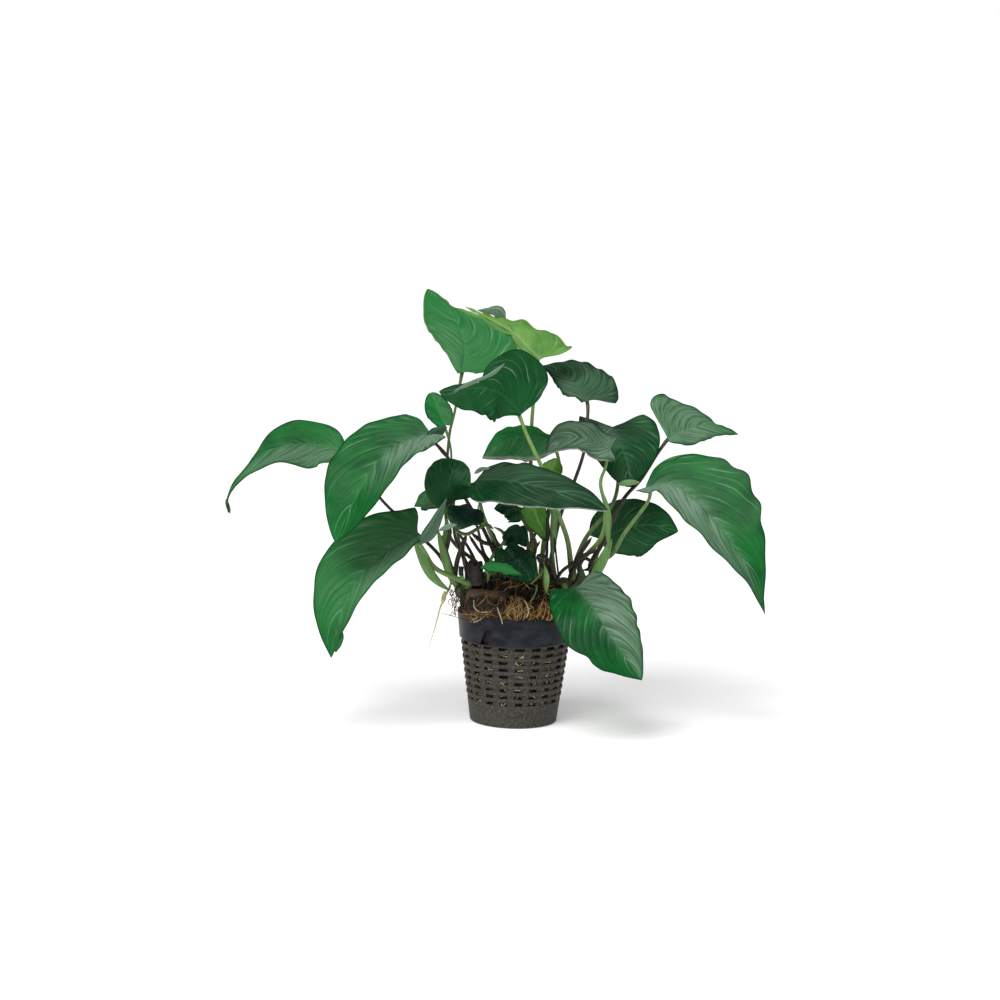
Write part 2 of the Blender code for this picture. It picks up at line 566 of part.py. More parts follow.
def add_medium():
    """Stands clear of the pot all round, with a lumpy top."""
    clear = WALL + MEDIUM_CLEARANCE
    foot = FLOOR + MEDIUM_CLEARANCE
    shoulder = NET_HEIGHT - COLLAR_STEP_DEPTH - MEDIUM_CLEARANCE
    edge = POT_HEIGHT - MEDIUM_EDGE_DROP
    edge_radius = RIM_RADIUS - clear - MEDIUM_CLEARANCE
    sides = [(foot, pot_profile_radius(foot) - clear), (shoulder, pot_profile_radius(shoulder) - clear),
             (edge, edge_radius)]
    angles = [math.tau * step / MEDIUM_SIDES for step in range(MEDIUM_SIDES)]
    points = ring_points(sides, angles)
    for ring in range(1, MEDIUM_RINGS):
        share = 1 - ring / MEDIUM_RINGS
        crown = POT_HEIGHT + MEDIUM_CROWN * (1 - share ** CROWN_ROUND) ** 0.5
        for angle, (x, y, z) in zip(angles, ring_points([(crown, edge_radius * share)], angles)):
            lumps = sum(height * math.sin(count * angle + turn * ring)
                        for height, count, turn in MEDIUM_LUMPS)
            points.append((x, y, min(z + lumps, log_relief(x, y))))
    top = len(points)
    points.append((0.0, 0.0, min(POT_HEIGHT + MEDIUM_CROWN, log_relief(0.0, 0.0))))
    faces = [list(range(MEDIUM_SIDES))[::-1]]
    for low in range(0, top, MEDIUM_SIDES):
        high = low + MEDIUM_SIDES
        for step in range(MEDIUM_SIDES):
            after = (step + 1) % MEDIUM_SIDES
            if high < top:
                faces.append([low + step, low + after, high + after, high + step])
            else:
                faces.append([low + step, low + after, top])
    add_solid("growing_medium", points, faces, MEDIUM_COLOUR, MEDIUM_ROUGHNESS)


def add_log(name, path, radii, colour):
    points, faces = tube(smooth_path(path, len(radii)), radii, RHIZOME_SIDES, RHIZOME_BUMP)
    add_solid(name, points, faces, colour, RHIZOME_ROUGHNESS)


def add_rhizomes():
    """The living rhizome, an old dead one lying in front of it, and a dead stump standing up."""
    radii = [rhizome_radius(index / (RHIZOME_RINGS - 1)) for index in range(RHIZOME_RINGS)]
    add_log("rhizome", RHIZOME_PATH, radii, RHIZOME_COLOUR)
    add_log("old_rhizome", OLD_RHIZOME_PATH, [OLD_RHIZOME_RADIUS] * OLD_RHIZOME_RINGS,
            OLD_RHIZOME_COLOUR)
    add_log("rhizome_stump", STUMP_PATH, [STUMP_RADIUS] * STUMP_RINGS, STUMP_COLOUR)


def add_aerial_root():
    path = smooth_path(AERIAL_ROOT_PATH, AERIAL_ROOT_RINGS)
    radii = tapered(AERIAL_ROOT_RADIUS, AERIAL_ROOT_TIP_RADIUS, AERIAL_ROOT_RINGS)
    points, faces = tube(path, radii, STALK_SIDES)
    add_solid("aerial_root", points, faces, AERIAL_ROOT_COLOUR, AERIAL_ROOT_ROUGHNESS)


def main():
    clear_scene()
    add_pot()
    add_medium()
    add_rhizomes()
    add_aerial_root()
    for name, details in LEAVES.items():
        leaf = PLAIN_LEAF | details
        add_blade(name, leaf)
        add_stalk(name, leaf)


main()
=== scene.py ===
"""The finished looks of a broad-leaved water plant in a small net pot.

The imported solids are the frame, and the leaf table is the one that they were made from. Lengths are
in millimetres until a mesh is made. Only the floor's and the lamps' are in metres.
"""
import math
import random

import bpy
import numpy as np
from mathutils import Matrix, Vector, noise


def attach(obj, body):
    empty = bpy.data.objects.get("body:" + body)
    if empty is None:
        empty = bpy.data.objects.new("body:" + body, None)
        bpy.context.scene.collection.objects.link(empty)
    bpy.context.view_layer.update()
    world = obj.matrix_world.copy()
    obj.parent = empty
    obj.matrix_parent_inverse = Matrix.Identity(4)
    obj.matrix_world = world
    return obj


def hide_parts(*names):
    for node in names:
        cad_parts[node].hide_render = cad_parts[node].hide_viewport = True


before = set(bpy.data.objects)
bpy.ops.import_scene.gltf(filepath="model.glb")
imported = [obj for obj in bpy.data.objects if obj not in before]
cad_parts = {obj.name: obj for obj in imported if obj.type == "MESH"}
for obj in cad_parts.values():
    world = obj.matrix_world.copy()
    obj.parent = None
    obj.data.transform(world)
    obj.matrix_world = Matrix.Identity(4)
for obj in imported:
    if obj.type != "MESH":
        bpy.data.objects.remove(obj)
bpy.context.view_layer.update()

MM = 0.001
TAU = math.tau
UP = np.array([0.0, 0.0, 1.0])

# Net pot
POT_HEIGHT = 50.0
RIM_RADIUS = 26.4
COLLAR_HEIGHT = 12.0
NET_HEIGHT = POT_HEIGHT - COLLAR_HEIGHT
COLLAR_FOOT_RADIUS = 25.2
NET_TOP_RADIUS = 24.5
BASE_RADIUS = 19.6
WALL = 1.1
FLOOR = 1.6
SLOT_COLUMNS = 20
SLOT_ROWS = 9
SLOT_PITCH = 3.2
SLOT_HEIGHT = 1.4
SLOT_SHARE = 0.56
NET_TOP_MARGIN = 0.7
RIB_PROUD = 0.3
NOTCH_SLOT_COLUMN = 18
NOTCH_HEIGHT = 6.8
GROOVE_DEPTH = 0.3
NOTCH_LEAN = 0.06
NOTCH_NARROWING = 0.4
NOTCH_ANGLE = TAU * (NOTCH_SLOT_COLUMN + SLOT_SHARE / 2) / SLOT_COLUMNS
COLLAR_TAPER = 1.2
COLLAR_WALL = 1.4
SLOT_INSET = 0.30
COLUMN_SHARES = (0.0, 0.04, 0.26, 0.30, 0.52, SLOT_SHARE, 0.60, 0.70, 0.86, 0.96)
POT_EDGE_ANGLE = 40

# Growing medium and rhizomes
MEDIUM_CROWN = 15.5
MEDIUM_EDGE_DROP = 1.0
MEDIUM_LUMPS = ((0.7, 3, 1), (0.5, 7, -2))
MEDIUM_RADIUS = RIM_RADIUS - 1.5
MEDIUM_SIDES = 200
CROWN_START = 46.0
RHIZOME_PATH = ((-27, 1, 58), (-18, 5, 59), (-6, 6, 58), (7, 4, 59), (19, 4, 61), (30, 3, 63),
                (39, 2, 66))
RHIZOME_RADIUS = 4.2
RHIZOME_TIP_RADIUS = 2.4
RHIZOME_TAPER_START = 0.4
RHIZOME_BUMP = 0.06
OLD_RHIZOME_PATH = ((-22, -7, 57), (-12, -10, 57), (-4, -14, 57))
OLD_RHIZOME_RADIUS = 3.7
STUMP_PATH = ((-18, -4.5, 61.5), (-18.5, -4.5, 67), (-19, -4.5, 72))
STUMP_RADIUS = 3.0
AERIAL_ROOT_PATH = ((-29, -2, 64), (-30.5, -4, 59), (-33, -5, 54), (-35, -6, 47), (-37, -6, 39))
AERIAL_ROOT_RADII = (0.6, 0.2)
AERIAL_HAIR = ((-37.6, -6.5, 37), (-38.6, -7, 33))
AERIAL_HAIR_RADII = (0.19, 0.08)
AERIAL_KNOB = ((-32, -6, 59), (-32.5, -6, 56), (-33.2, -6, 53))
AERIAL_KNOB_RADIUS = 1.1

# Blades and stalks
PATH_SAMPLES = 160
CURVE_STEPS = 24
BIG_HALF_WIDTH = 12.0
BIG_GRID = (120, 52)
SMALL_GRID = (70, 36)
STALK_RADII = (1.1, 0.72)
SMALL_STALK_RADII = (0.9, 0.52)
STALK_RISE = 5.0
SEAT_CLEARANCE = 1.0
STALK_SUNK = 2.5
NECK_DROP = 1.4

# Each leaf: "rib" is its midrib from base to tip; "face" is where its upper side looks at base,
# middle and tip, as (heading, tilt) in degrees with heading 0 the front, 90 the right and tilt 0
# straight up. Pairs are for the halves left and right of the midrib, looking from base to tip:
# "half" the greatest width, "fold" how far it rises (+) or droops (-) in degrees, "peak" the place
# of the greatest width, "base" the share of that width at the base, "tip" how sharply it narrows.
# "lobe" how far the base sweeps back. "wave" is the height and number of the margin's ripples,
# "seat" the stalk's place on the rhizome, as a share of its length and an angle round it, and
# "knees" the points it passes, from the blade down. "tone" and "stalk" name the two colours.
LEAVES = {
    "far_left": dict(
        rib=((-80, 16, 118), (-91, 18, 120), (-105, 14, 120), (-116, 8, 116), (-125, 4, 107),
             (-130, 0, 98), (-130, -2, 91)),
        face=((0, 45), (-10, 48), (-60, 50)), half=(14.5, 13.5), fold=(10, 4), peak=(0.30, 0.24),
        base=(0.42, 0.30), tip=(2.6, 5.6), lobe=(0.10, 0.02), wave=(0.8, 2.5), seat=(0.03, 70),
        knees=((-71, 14, 107), (-60, 10, 95), (-46, 7, 83), (-35, 5, 73)), stalk="dark"),
    "big_left": dict(
        rib=((-40, -5, 130), (-52, -18, 127), (-62, -30, 120), (-70, -40, 107), (-79, -46, 87)),
        face=((-10, 40), (-25, 58), (-25, 75)), half=(16.5, 19.5), fold=(16, 8), peak=(0.45, 0.52),
        base=(0.6, 0.75), tip=(0.7, 0.8), lobe=(0.05, 0.05), wave=(0.7, 3.0), seat=(0.29, 35),
        knees=((-37, -2, 124), (-32, 1, 118), (-25, 6, 101), (-15, 8, 84)), stalk="dark"),
    "low_left": dict(
        rib=((-44, -15, 86), (-55, -22, 81), (-67, -32, 71), (-74, -40, 60), (-78, -44, 48),
             (-80, -46, 36)),
        face=((-10, 40), (-20, 62), (-35, 80)), half=(11.5, 19.5), fold=(26, 20), peak=(0.30, 0.42),
        base=(0.45, 0.6), tip=(0.7, 0.95), lobe=(0.04, 0.14), wave=(0.8, 3.5), seat=(0.03, -65),
        knees=((-41, -11, 77), (-36, -7, 69))),
    "top": dict(
        rib=((-27, 8, 156), (-26, 17, 165), (-29, 27, 174), (-35, 37, 182), (-44, 46, 190)),
        face=((0, 45), (0, 42), (-20, 35)), half=(14.5, 24), fold=(8, 2), peak=(0.54, 0.20),
        base=(0.16, 0.3), lobe=(0.02, 0.02), tip=(0.7, 3.2), wave=(0.5, 3.0), seat=(0.16, 20),
        knees=((-30, 6, 137), (-32, 5, 127), (-33, 3, 99), (-30, 3, 81))),
    "top_back": dict(
        rib=((8, 26, 161), (3, 31, 165), (-7, 39, 173), (-27, 48, 182)),
        face=((0, 40), (0, 42), (0, 40)), half=(5, 16), fold=(20, 0), peak=(0.30, 0.06),
        base=(0.5, 0.95), lobe=(0.04, 0.18), tip=(1.2, 2.6), wave=(1.8, 4.0), seat=(0.55, 35),
        knees=((6, 22, 147), (5, 19, 134), (5, 15, 112), (6, 11, 85)), tone="young"),
    "upper_mid": dict(
        rib=((0, -18, 141), (-5, -18, 146), (-11, -21, 151), (-19, -26, 153), (-27, -31, 153),
             (-36, -34, 152)),
        face=((15, 50), (5, 50), (0, 50)), half=(15.5, 28), fold=(-4, 0), peak=(0.45, 0.22),
        base=(0.1, 0.5), lobe=(0.0, 0.06), tip=(0.6, 9.0), wave=(0.7, 3.0), seat=(0.80, -25),
        knees=((3, -19, 131), (11, -22, 115), (17, -16, 98), (22, -9, 84)), tone="deep"),
    "upper_right": dict(
        rib=((30, 16, 144), (25, 30, 149), (18, 42, 153), (9, 52, 155)),
        face=((0, 40), (0, 50), (0, 35)), half=(8, 16), fold=(0, 0), peak=(0.35, 0.30),
        base=(0.4, 0.6), tip=(1.1, 0.8), lobe=(0.06, 0.30), wave=(1.0, 3.0), seat=(0.66, 20),
        knees=((30, 14, 137), (29, 13, 122), (25, 12, 108), (19, 10, 92)), tone="deep", stalk="dark"),
    "right_point": dict(
        rib=((67, 22, 127), (74, 27, 130), (86, 31, 132), (100, 33, 128)),
        face=((0, 70), (5, 50), (0, 40)), half=(20, 8.5), fold=(0, 0), peak=(0.12, 0.35),
        base=(0.95, 0.3), tip=(3.4, 1.0), lobe=(-0.04, 0.05), wave=(0.8, 2.5), seat=(0.93, 45),
        knees=((62, 22, 119), (55, 18, 108), (47, 14, 99), (39, 7, 82)), stalk="dark"),
    "big_right": dict(
        rib=((56, -4, 108), (67, -10, 111), (80, -20, 103), (92, -30, 90), (102, -36, 76),
             (108, -40, 59)),
        face=((0, 35), (20, 60), (35, 80)), half=(23.8, 19), fold=(22, 28), peak=(0.31, 0.38),
        base=(0.45, 0.42), tip=(1.6, 1.0), lobe=(-0.08, 0.05), wave=(0.8, 3.5), seat=(0.98, -20),
        knees=((58, -2, 102), (53, 0, 94), (47, 1, 85), (42, 0, 76))),
    "right_low": dict(
        rib=((38, 16, 80), (49, 26, 84), (62, 32, 85), (74, 34, 82)),
        face=((0, 50), (0, 60), (10, 60)), half=(15.5, 14.5), fold=(-8, -8), peak=(0.42, 0.38),
        tip=(0.75, 0.9), lobe=(0.08, 0.08), wave=(0.5, 2.5), seat=(0.90, 85), knees=((36, 15, 73),),
        stalk="dark"),
    "pot_front": dict(
        rib=((26, -20, 65), (33, -32, 59), (41, -41, 48), (49, -46, 38), (55, -48, 30)),
        face=((10, 45), (20, 65), (30, 80)), half=(18.3, 19.5), fold=(-4, -6), peak=(0.28, 0.45),
        base=(0.78, 0.62), tip=(0.8, 1.0), lobe=(0.20, 0.10), wave=(0.7, 3.0), seat=(0.74, -85),
        knees=((24, -13, 61),)),
    "front_wide": dict(
        rib=((-19, -20, 112), (-7, -33, 114), (11, -42, 112), (27, -46, 109), (38, -48, 104)),
        face=((0, 45), (10, 50), (20, 55)), half=(13, 12.5), fold=(-8, -10), peak=(0.25, 0.10),
        base=(0.92, 0.95), tip=(0.8, 0.7), lobe=(0.04, 0.0), wave=(0.7, 3.5), seat=(0.32, -15),
        knees=((-18, -15, 106), (-16, -10, 95), (-10, -4, 80)), tone="deep"),
    "mid_wide": dict(
        rib=((40, -4, 125), (35, -4, 126), (29, -6, 129), (23, -9, 130), (17, -12, 128),
             (11, -14, 123)),
        face=((0, 40), (0, 40), (0, 45)), half=(7.5, 12), fold=(-12, -4), peak=(0.30, 0.40),
        base=(0.85, 0.7), tip=(0.8, 1.0), lobe=(0.16, 0.10), wave=(0.5, 3.5), seat=(0.86, 10),
        knees=((38, -3, 116), (36, -3, 109), (39, 0, 96), (37, 2, 83)), tone="deep"),
    "mid_bright": dict(
        rib=((15, 10, 126), (6, 6, 128), (-6, 0, 127), (-17, -4, 119)),
        face=((0, 35), (0, 45), (-10, 55)), half=(13, 8.5), fold=(-8, -10), peak=(0.45, 0.40),
        tip=(0.9, 1.0), wave=(0.6, 3.0), seat=(0.60, 0),
        knees=((17, 12, 119), (18, 12, 108), (13, 9, 90))),
    "heart_right": dict(
        rib=((42, 26, 131), (45, 18, 125), (48, 9, 117), (50, 2, 107)),
        face=((0, 45), (5, 60), (10, 70)), half=(20.0, 14.5), fold=(-6, -6), peak=(0.18, 0.15),
        base=(0.8, 0.85), tip=(0.9, 0.5), lobe=(0.20, 0.43), wave=(0.6, 2.5), seat=(0.80, 50),
        knees=((44, 27, 119), (45, 21, 107), (42, 15, 96), (31, 12, 82)), tone="deep"),
    "small_left": dict(
        rib=((-34, 8, 132), (-37, 13, 137), (-39, 17, 141), (-41, 20, 145)),
        face=((0, 50), (0, 50), (0, 45)), half=(6, 6), fold=(8, 8), tip=(0.5, 0.5),
        seat=(0.12, 60), knees=((-31, 9, 120), (-31, 9, 104), (-28, 9, 86))),
    "round_left": dict(
        rib=((-28, -12, 101), (-31, -16, 108), (-30, -15, 114), (-28, -10, 119)),
        face=((0, 60), (0, 60), (0, 40)), half=(11.5, 11), fold=(20, 20), base=(0.5, 0.6), tip=(0.6, 0.6),
        lobe=(0.0, 0.10), seat=(0.09, 0), knees=((-29, -8, 95), (-28, -4, 83)), tone="deep",
        stalk="dark"),
    "behind_left": dict(
        rib=((-33, 14, 95), (-38, 20, 97), (-43, 26, 96), (-48, 30, 91)),
        face=((0, 40), (-10, 45), (-20, 50)), half=(8, 8), seat=(0.21, 85),
        knees=((-30, 15, 86), (-22, 14, 75)), stalk="dark"),
    "dark_hanging": dict(
        rib=((-20, -14, 98), (-23, -20, 97), (-25, -26, 95), (-26, -30, 91)),
        face=((0, 30), (0, 60), (0, 70)), half=(9, 9), fold=(-6, -6), tip=(0.8, 0.8),
        seat=(0.24, -10), knees=((-18, -9, 88), (-15, -3, 76)), tone="deep", stalk="dark"),
    "small_mid": dict(
        rib=((15, -4, 110), (14, -2, 113), (15, 1, 116), (16, 4, 119)),
        face=((0, 45), (0, 45), (0, 45)), half=(5, 5), fold=(8, 8), tip=(0.8, 0.8),
        seat=(0.68, -20), knees=((15, -4, 98), (15, -2, 84)), tone="young"),
    "young_mid": dict(
        rib=((13, -4, 83), (11, -5, 88), (8, -7, 94), (6, -9, 101)),
        face=((-10, 70), (-10, 75), (-10, 75)), half=(6.5, 5.5), fold=(15, 15), peak=(0.85, 0.80),
        base=(0.12, 0.12), tip=(0.7, 0.7), lobe=(0.05, 0.05), seat=(0.58, -50), knees=((13, -3, 75),),
        tone="young"),
    "on_soil": dict(
        rib=((-15, -22, 74), (-10, -27, 75), (-4, -31, 74), (3, -33, 72)),
        face=((0, 30), (0, 25), (0, 30)), half=(4.5, 4.5), fold=(-5, -5), lobe=(0.05, 0.05),
        seat=(0.25, -40), knees=((-13, -14, 69),)),
    "crinkled_top": dict(
        rib=((1, -13, 97), (-3, -18, 100), (-7, -22, 101), (-11, -25, 100)),
        face=((0, 60), (0, 65), (-10, 60)), half=(7, 3), fold=(-10, -10), base=(0.6, 0.6),
        tip=(0.6, 0.8), wave=(0.8, 2.5), seat=(0.52, -15), knees=((3, -12, 91), (8, -9, 82)), tone="deep",
        stalk="dark"),
    "crinkled_high": dict(
        rib=((-1, -6, 80), (-1, -10, 85), (-2, -13, 88), (-3, -15, 91)),
        face=((0, 70), (0, 70), (0, 70)), half=(6.2, 5.5), fold=(-10, -10), base=(0.8, 0.8),
        tip=(0.5, 0.5), wave=(1.0, 2.5), seat=(0.44, -15), knees=((0, 1, 73),), tone="deep",
        stalk="dark"),
    "crinkled_low": dict(
        rib=((-6, -14, 81), (-2, -20, 78), (2, -25, 75), (6, -29, 69)),
        face=((0, 50), (0, 60), (0, 70)), half=(8, 9.5), fold=(-12, -12), wave=(1.2, 2.5),
        tip=(0.7, 0.6), seat=(0.36, -45), knees=((-5, -10, 73),), tone="deep", stalk="dark"),
}
PLAIN_LEAF = dict(fold=(-8, -8), peak=(0.40, 0.40), base=(0.42, 0.42), tip=(1.1, 1.1), lobe=(0.10, 0.10),
                  wave=(0.4, 2.0), tone="mid", stalk="green")

# How a blade is finished, where it differs from the plain one: "veins" main side veins a half,
# "pleat" how far the blade puffs up between them, "ruffle" the height of its margin's small waves,
# "margin" how pale its edge is, from dark (0) to yellow (1), and "tint" how light it is (-1 to 1).
# "pale" is painted sheen, a grey that stands in for light reflected off its left and right half,
# and the share of its length where that ends; "stalk" is how thick its stalk is and how light, from
# dark (-1) to light (1). "roll" is how much painted sheen its left and right margins carry where
# they roll over, "dim" how much painted shade darkens it inside its margin, and "rumple" the height
# of its creases. "scallop" is the share by which its margin's broad waves widen it, and "bite" a
# notch in the margin: its half (left 0, right 1), place and depth.
PLAIN_FINISH = dict(veins=10, pleat=0.25, ruffle=0.35, margin=0.0, tint=0.0, pale=(0.05, 0.05, 1.0),
                    stalk=(1.0, 0.0), roll=(0.0, 0.0), dim=0.0, rumple=0.0, scallop=0.0,
                    bite=(0, 0.5, 0.0))
FINISHES = {
    "far_left": dict(pleat=0.45, tint=0.3, pale=(0.7, 0.05, 1.2), stalk=(0.8, -0.2)),
    "big_left": dict(pleat=0.45, tint=0.1, pale=(1.4, 0.2, 0.55), stalk=(0.9, 0.0)),
    "low_left": dict(pleat=0.40, veins=11, tint=0.9, pale=(0.9, 0.4, 0.8), stalk=(1.15, 0.3)),
    "top": dict(pleat=0.6, veins=9, margin=0.5, tint=1.3, ruffle=0.6, pale=(0.35, 0.2, 1.0),
                stalk=(0.75, -0.6)),
    "top_back": dict(pleat=0.3, ruffle=1.0, margin=0.6, tint=-0.1, pale=(0.5, 0.2, 1.0)),
    "upper_mid": dict(pleat=0.15, ruffle=0.45, scallop=0.03, tint=0.7, pale=(0.0, 0.0, 1.0),
                      stalk=(1.1, 0.1)),
    "upper_right": dict(pleat=0.4, ruffle=0.6, tint=-0.3, pale=(0.5, 0.3, 1.2), stalk=(0.9, 0.1)),
    "right_point": dict(pleat=0.45, tint=0.1, pale=(0.7, 0.9, 1.2)),
    "big_right": dict(pleat=0.4, veins=11, scallop=0.05, tint=0.1, pale=(0.05, 1.6, 0.8)),
    "right_low": dict(pleat=0.35, tint=-0.5, pale=(0.2, 0.2, 1.0)),
    "pot_front": dict(pleat=0.35, scallop=0.02, bite=(1, 0.63, 0.16), tint=-0.5, pale=(1.2, 0.0, 1.4)),
    "front_wide": dict(pleat=0.15, veins=12, tint=-0.4, pale=(0.2, 0.0, 1.2), roll=(0.0, 0.3)),
    "mid_wide": dict(pleat=0.5, ruffle=0.2, tint=-0.2, pale=(0.8, 0.6, 1.2), roll=(0.35, 0.0),
                     stalk=(1.3, 0.4)),
    "mid_bright": dict(pleat=0.3, tint=0.8, pale=(0.3, 0.0, 1.2), roll=(1.0, 0.0)),
    "heart_right": dict(pleat=0.35, tint=0.3, pale=(0.15, 1.0, 0.35)),
    "small_left": dict(veins=6, pleat=0.2, tint=0.8, pale=(0.0, 0.2, 1.0), stalk=(0.8, -0.3)),
    # The dim insides of round_left, dark_hanging and the crinkled leaves are painted shade, and so is
    # dark_hanging's low tint
    "round_left": dict(veins=7, pleat=0.2, tint=0.8, margin=0.2, dim=0.35),
    "behind_left": dict(veins=6, pleat=0.2, pale=(0.5, 0.3, 1.0)),
    "dark_hanging": dict(veins=7, pleat=0.1, tint=-1.0, margin=0.3, dim=1.0),
    "small_mid": dict(veins=5, pleat=0.15, margin=0.3),
    "young_mid": dict(veins=5, pleat=0.15, tint=-0.4),
    "on_soil": dict(veins=5, pleat=0.15, tint=1.2, pale=(0.15, 0.15, 2.0)),
    "crinkled_top": dict(veins=7, pleat=0.2, ruffle=0.8, tint=0.1, rumple=1.2, dim=0.3),
    "crinkled_high": dict(veins=7, pleat=0.2, ruffle=1.0, tint=-0.4, rumple=1.6, dim=0.5),
    "crinkled_low": dict(veins=8, pleat=0.2, ruffle=1.1, tint=-0.3, rumple=1.6, dim=0.5),
}
BLADE_THICKNESS = 0.5
MARGIN_THICKNESS = 0.10
MARGIN_ANGLE = 60
TIP_SPACING = 1.6
LOBE_ROUND = 0.10
LOBE_ROUND_START = 0.45
LOBE_ROUND_FADE = 0.15
TAIL_SHARE = 0.1
SCALLOPS = 6.3
SCALLOP_SHIFT = 0.37
BITE_WIDTH = 0.05
RIB_GROOVE = 0.4
VEIN_SWEEP = 0.50
VEIN_CURVE = 1.3
FAN_VEINS = 4.0
STALK_SIDES = 14
STALK_RINGS = 90
FOOT_SWELL = 0.55
FOOT_SWELL_LENGTH = 7
NECK_SWELL = 0.22
NECK_SWELL_LENGTH = 3.5
RIDGE_NARROWING = 0.72
RIDGE_END = 0.72
RIDGE_DEPTH = 0.45

# The medium's front slope, and how much of the lying rhizomes stands clear of it
MEDIUM_TILT = 0.22
FRONT_FOOT = -25.0
FRONT_TOP = -6.0
LOG_SHOWN = 0.1

# Fibres: how many lie loose on the crown, behind the net and over the rim at the left, how far out
# those on the crown start and end, and the tones that they are drawn from
CROWN_FIBRES = 560
CROWN_FIBRES_START = 24.6
CROWN_FIBRES_EDGE = 25.0
WALL_FIBRES = 800
STRAY_FIBRES = 40
WALL_TONES = (0.1, 0.3, 0.57, 0.88, 0.94, 0.91)
STRAY_TONES = (0.05, 0.2, 0.3, 1.0, 0.60, 1.0)
RED_TONES = (0.76, 0.76, 0.3, 0.60, 0.2, 0.88)
GOLD_TONES = (0.5, 0.62, 0.66, 0.68, 0.88, 0.3, 0.10)

# Tufts of fibre at the rim: x, y, width, height and number of strands
TUFTS = ((0.5, -22.0, 2.7, 12.0, 110), (11.6, -20.5, 1.5, 10.0, 70), (-14.0, -19.5, 6.5, 5.0, 110))

# Thin pale roots over the medium's front
PALE_ROOTS = (
    ((-19.0, -15.5, 57.0), (-18.5, -17.5, 54.0), (-16.0, -19.5, 52.5), (-12.5, -21.0, 53.0)),
    ((-8.5, -22.5, 55.5), (-7.5, -23.5, 53.0), (-6.5, -24.5, 50.5), (-6.0, -26.8, 49.0)),
    ((3.6, -23.0, 59.0), (5.0, -23.5, 56.0), (5.4, -24.0, 53.5), (4.2, -24.2, 51.5)),
    ((14.5, -20.5, 56.0), (15.8, -21.0, 53.0), (15.4, -21.3, 51.0)),
)

CURL_RINGS = 24
CURL_SIDES = 16
CURL_FLATNESS = 0.25
CURL_FACE = (0.1, -1.0, 0.35)

# Rolled margins and turned lobes: tone, tint, how much painted sheen, points, and half-widths along them
CURLS = {
    "upper_mid_strip": ("deep", 0.0, 1.3, ((-30, -33.4, 152), (-24.1, -28.6, 154.5), (-19.1, -23, 156.2),
                                           (-14.1, -17.8, 158), (-10, -13.3, 160.7), (-8, -10.9, 162.5)),
                        (0.5, 1.0, 1.0, 0.8, 1.1, 0.8)),
    "big_left_lobe": ("deep", -0.3, 0.2, ((-41.2, -10, 127.5), (-37, -5, 130.3), (-33, -3, 132.6)),
                      (2.2, 3.0, 1.2)),
    "low_left_lobe": ("deep", 0.6, 0.7, ((-44, -23, 83), (-39, -21.5, 88), (-35, -20.5, 96),
                                         (-32, -19.5, 103)), (2.4, 3.0, 2.0, 0.8)),
    "low_left_tip": ("mid", 0.6, 0.1, ((-77.9, -44.5, 51), (-76.6, -47.8, 45.8), (-77.9, -48, 39)),
                     (1.2, 2.2, 1.2)),
    "heart_right_bit": ("young", 0.3, 0.8, ((44, 3, 108), (49, 2, 109), (54, 4, 109)), (1.2, 1.5, 0.7)),
    "behind_top": ("deep", 0.2, 0.9, ((-21, 47.3, 180.4), (-17, 46, 180.4), (-12, 45, 180.4),
                                      (-8, 43.8, 176.4)), (0.7, 1.5, 3.0, 1.5)),
    "top_bit": ("deep", -0.2, 0.4, ((-39.8, 39.4, 183.5), (-36.9, 40.6, 184.4), (-33.8, 38.2, 182.6)),
                (1.2, 1.6, 1.0)),
    "top_margin": ("young", -0.5, 0.2, ((-31, 35.8, 181.9), (-24, 32.5, 179.9), (-17, 29.3, 176.9),
                                        (-11, 25, 173.9), (-5, 22.4, 171.8)), (0.6, 1.1, 1.2, 1.2, 0.8)),
    "front_wide_roll": ("deep", 0.5, 1.5, ((-20, -19.4, 114.4), (-17, -17, 116.1), (-13, -16.9, 116.4)),
                        (0.8, 1.0, 0.6)),
    "mauve_roll": ("deep", 0.5, 1.5, ((-35, -28, 90), (-31, -28.5, 92), (-27, -28.6, 93)), (0.7, 1.3, 0.7)),
    "far_left_tail": ("deep", -0.5, 0.3, ((-131, 0, 97), (-130, -1, 94), (-129, -2, 91)), (0.6, 0.9, 0.7)),
}

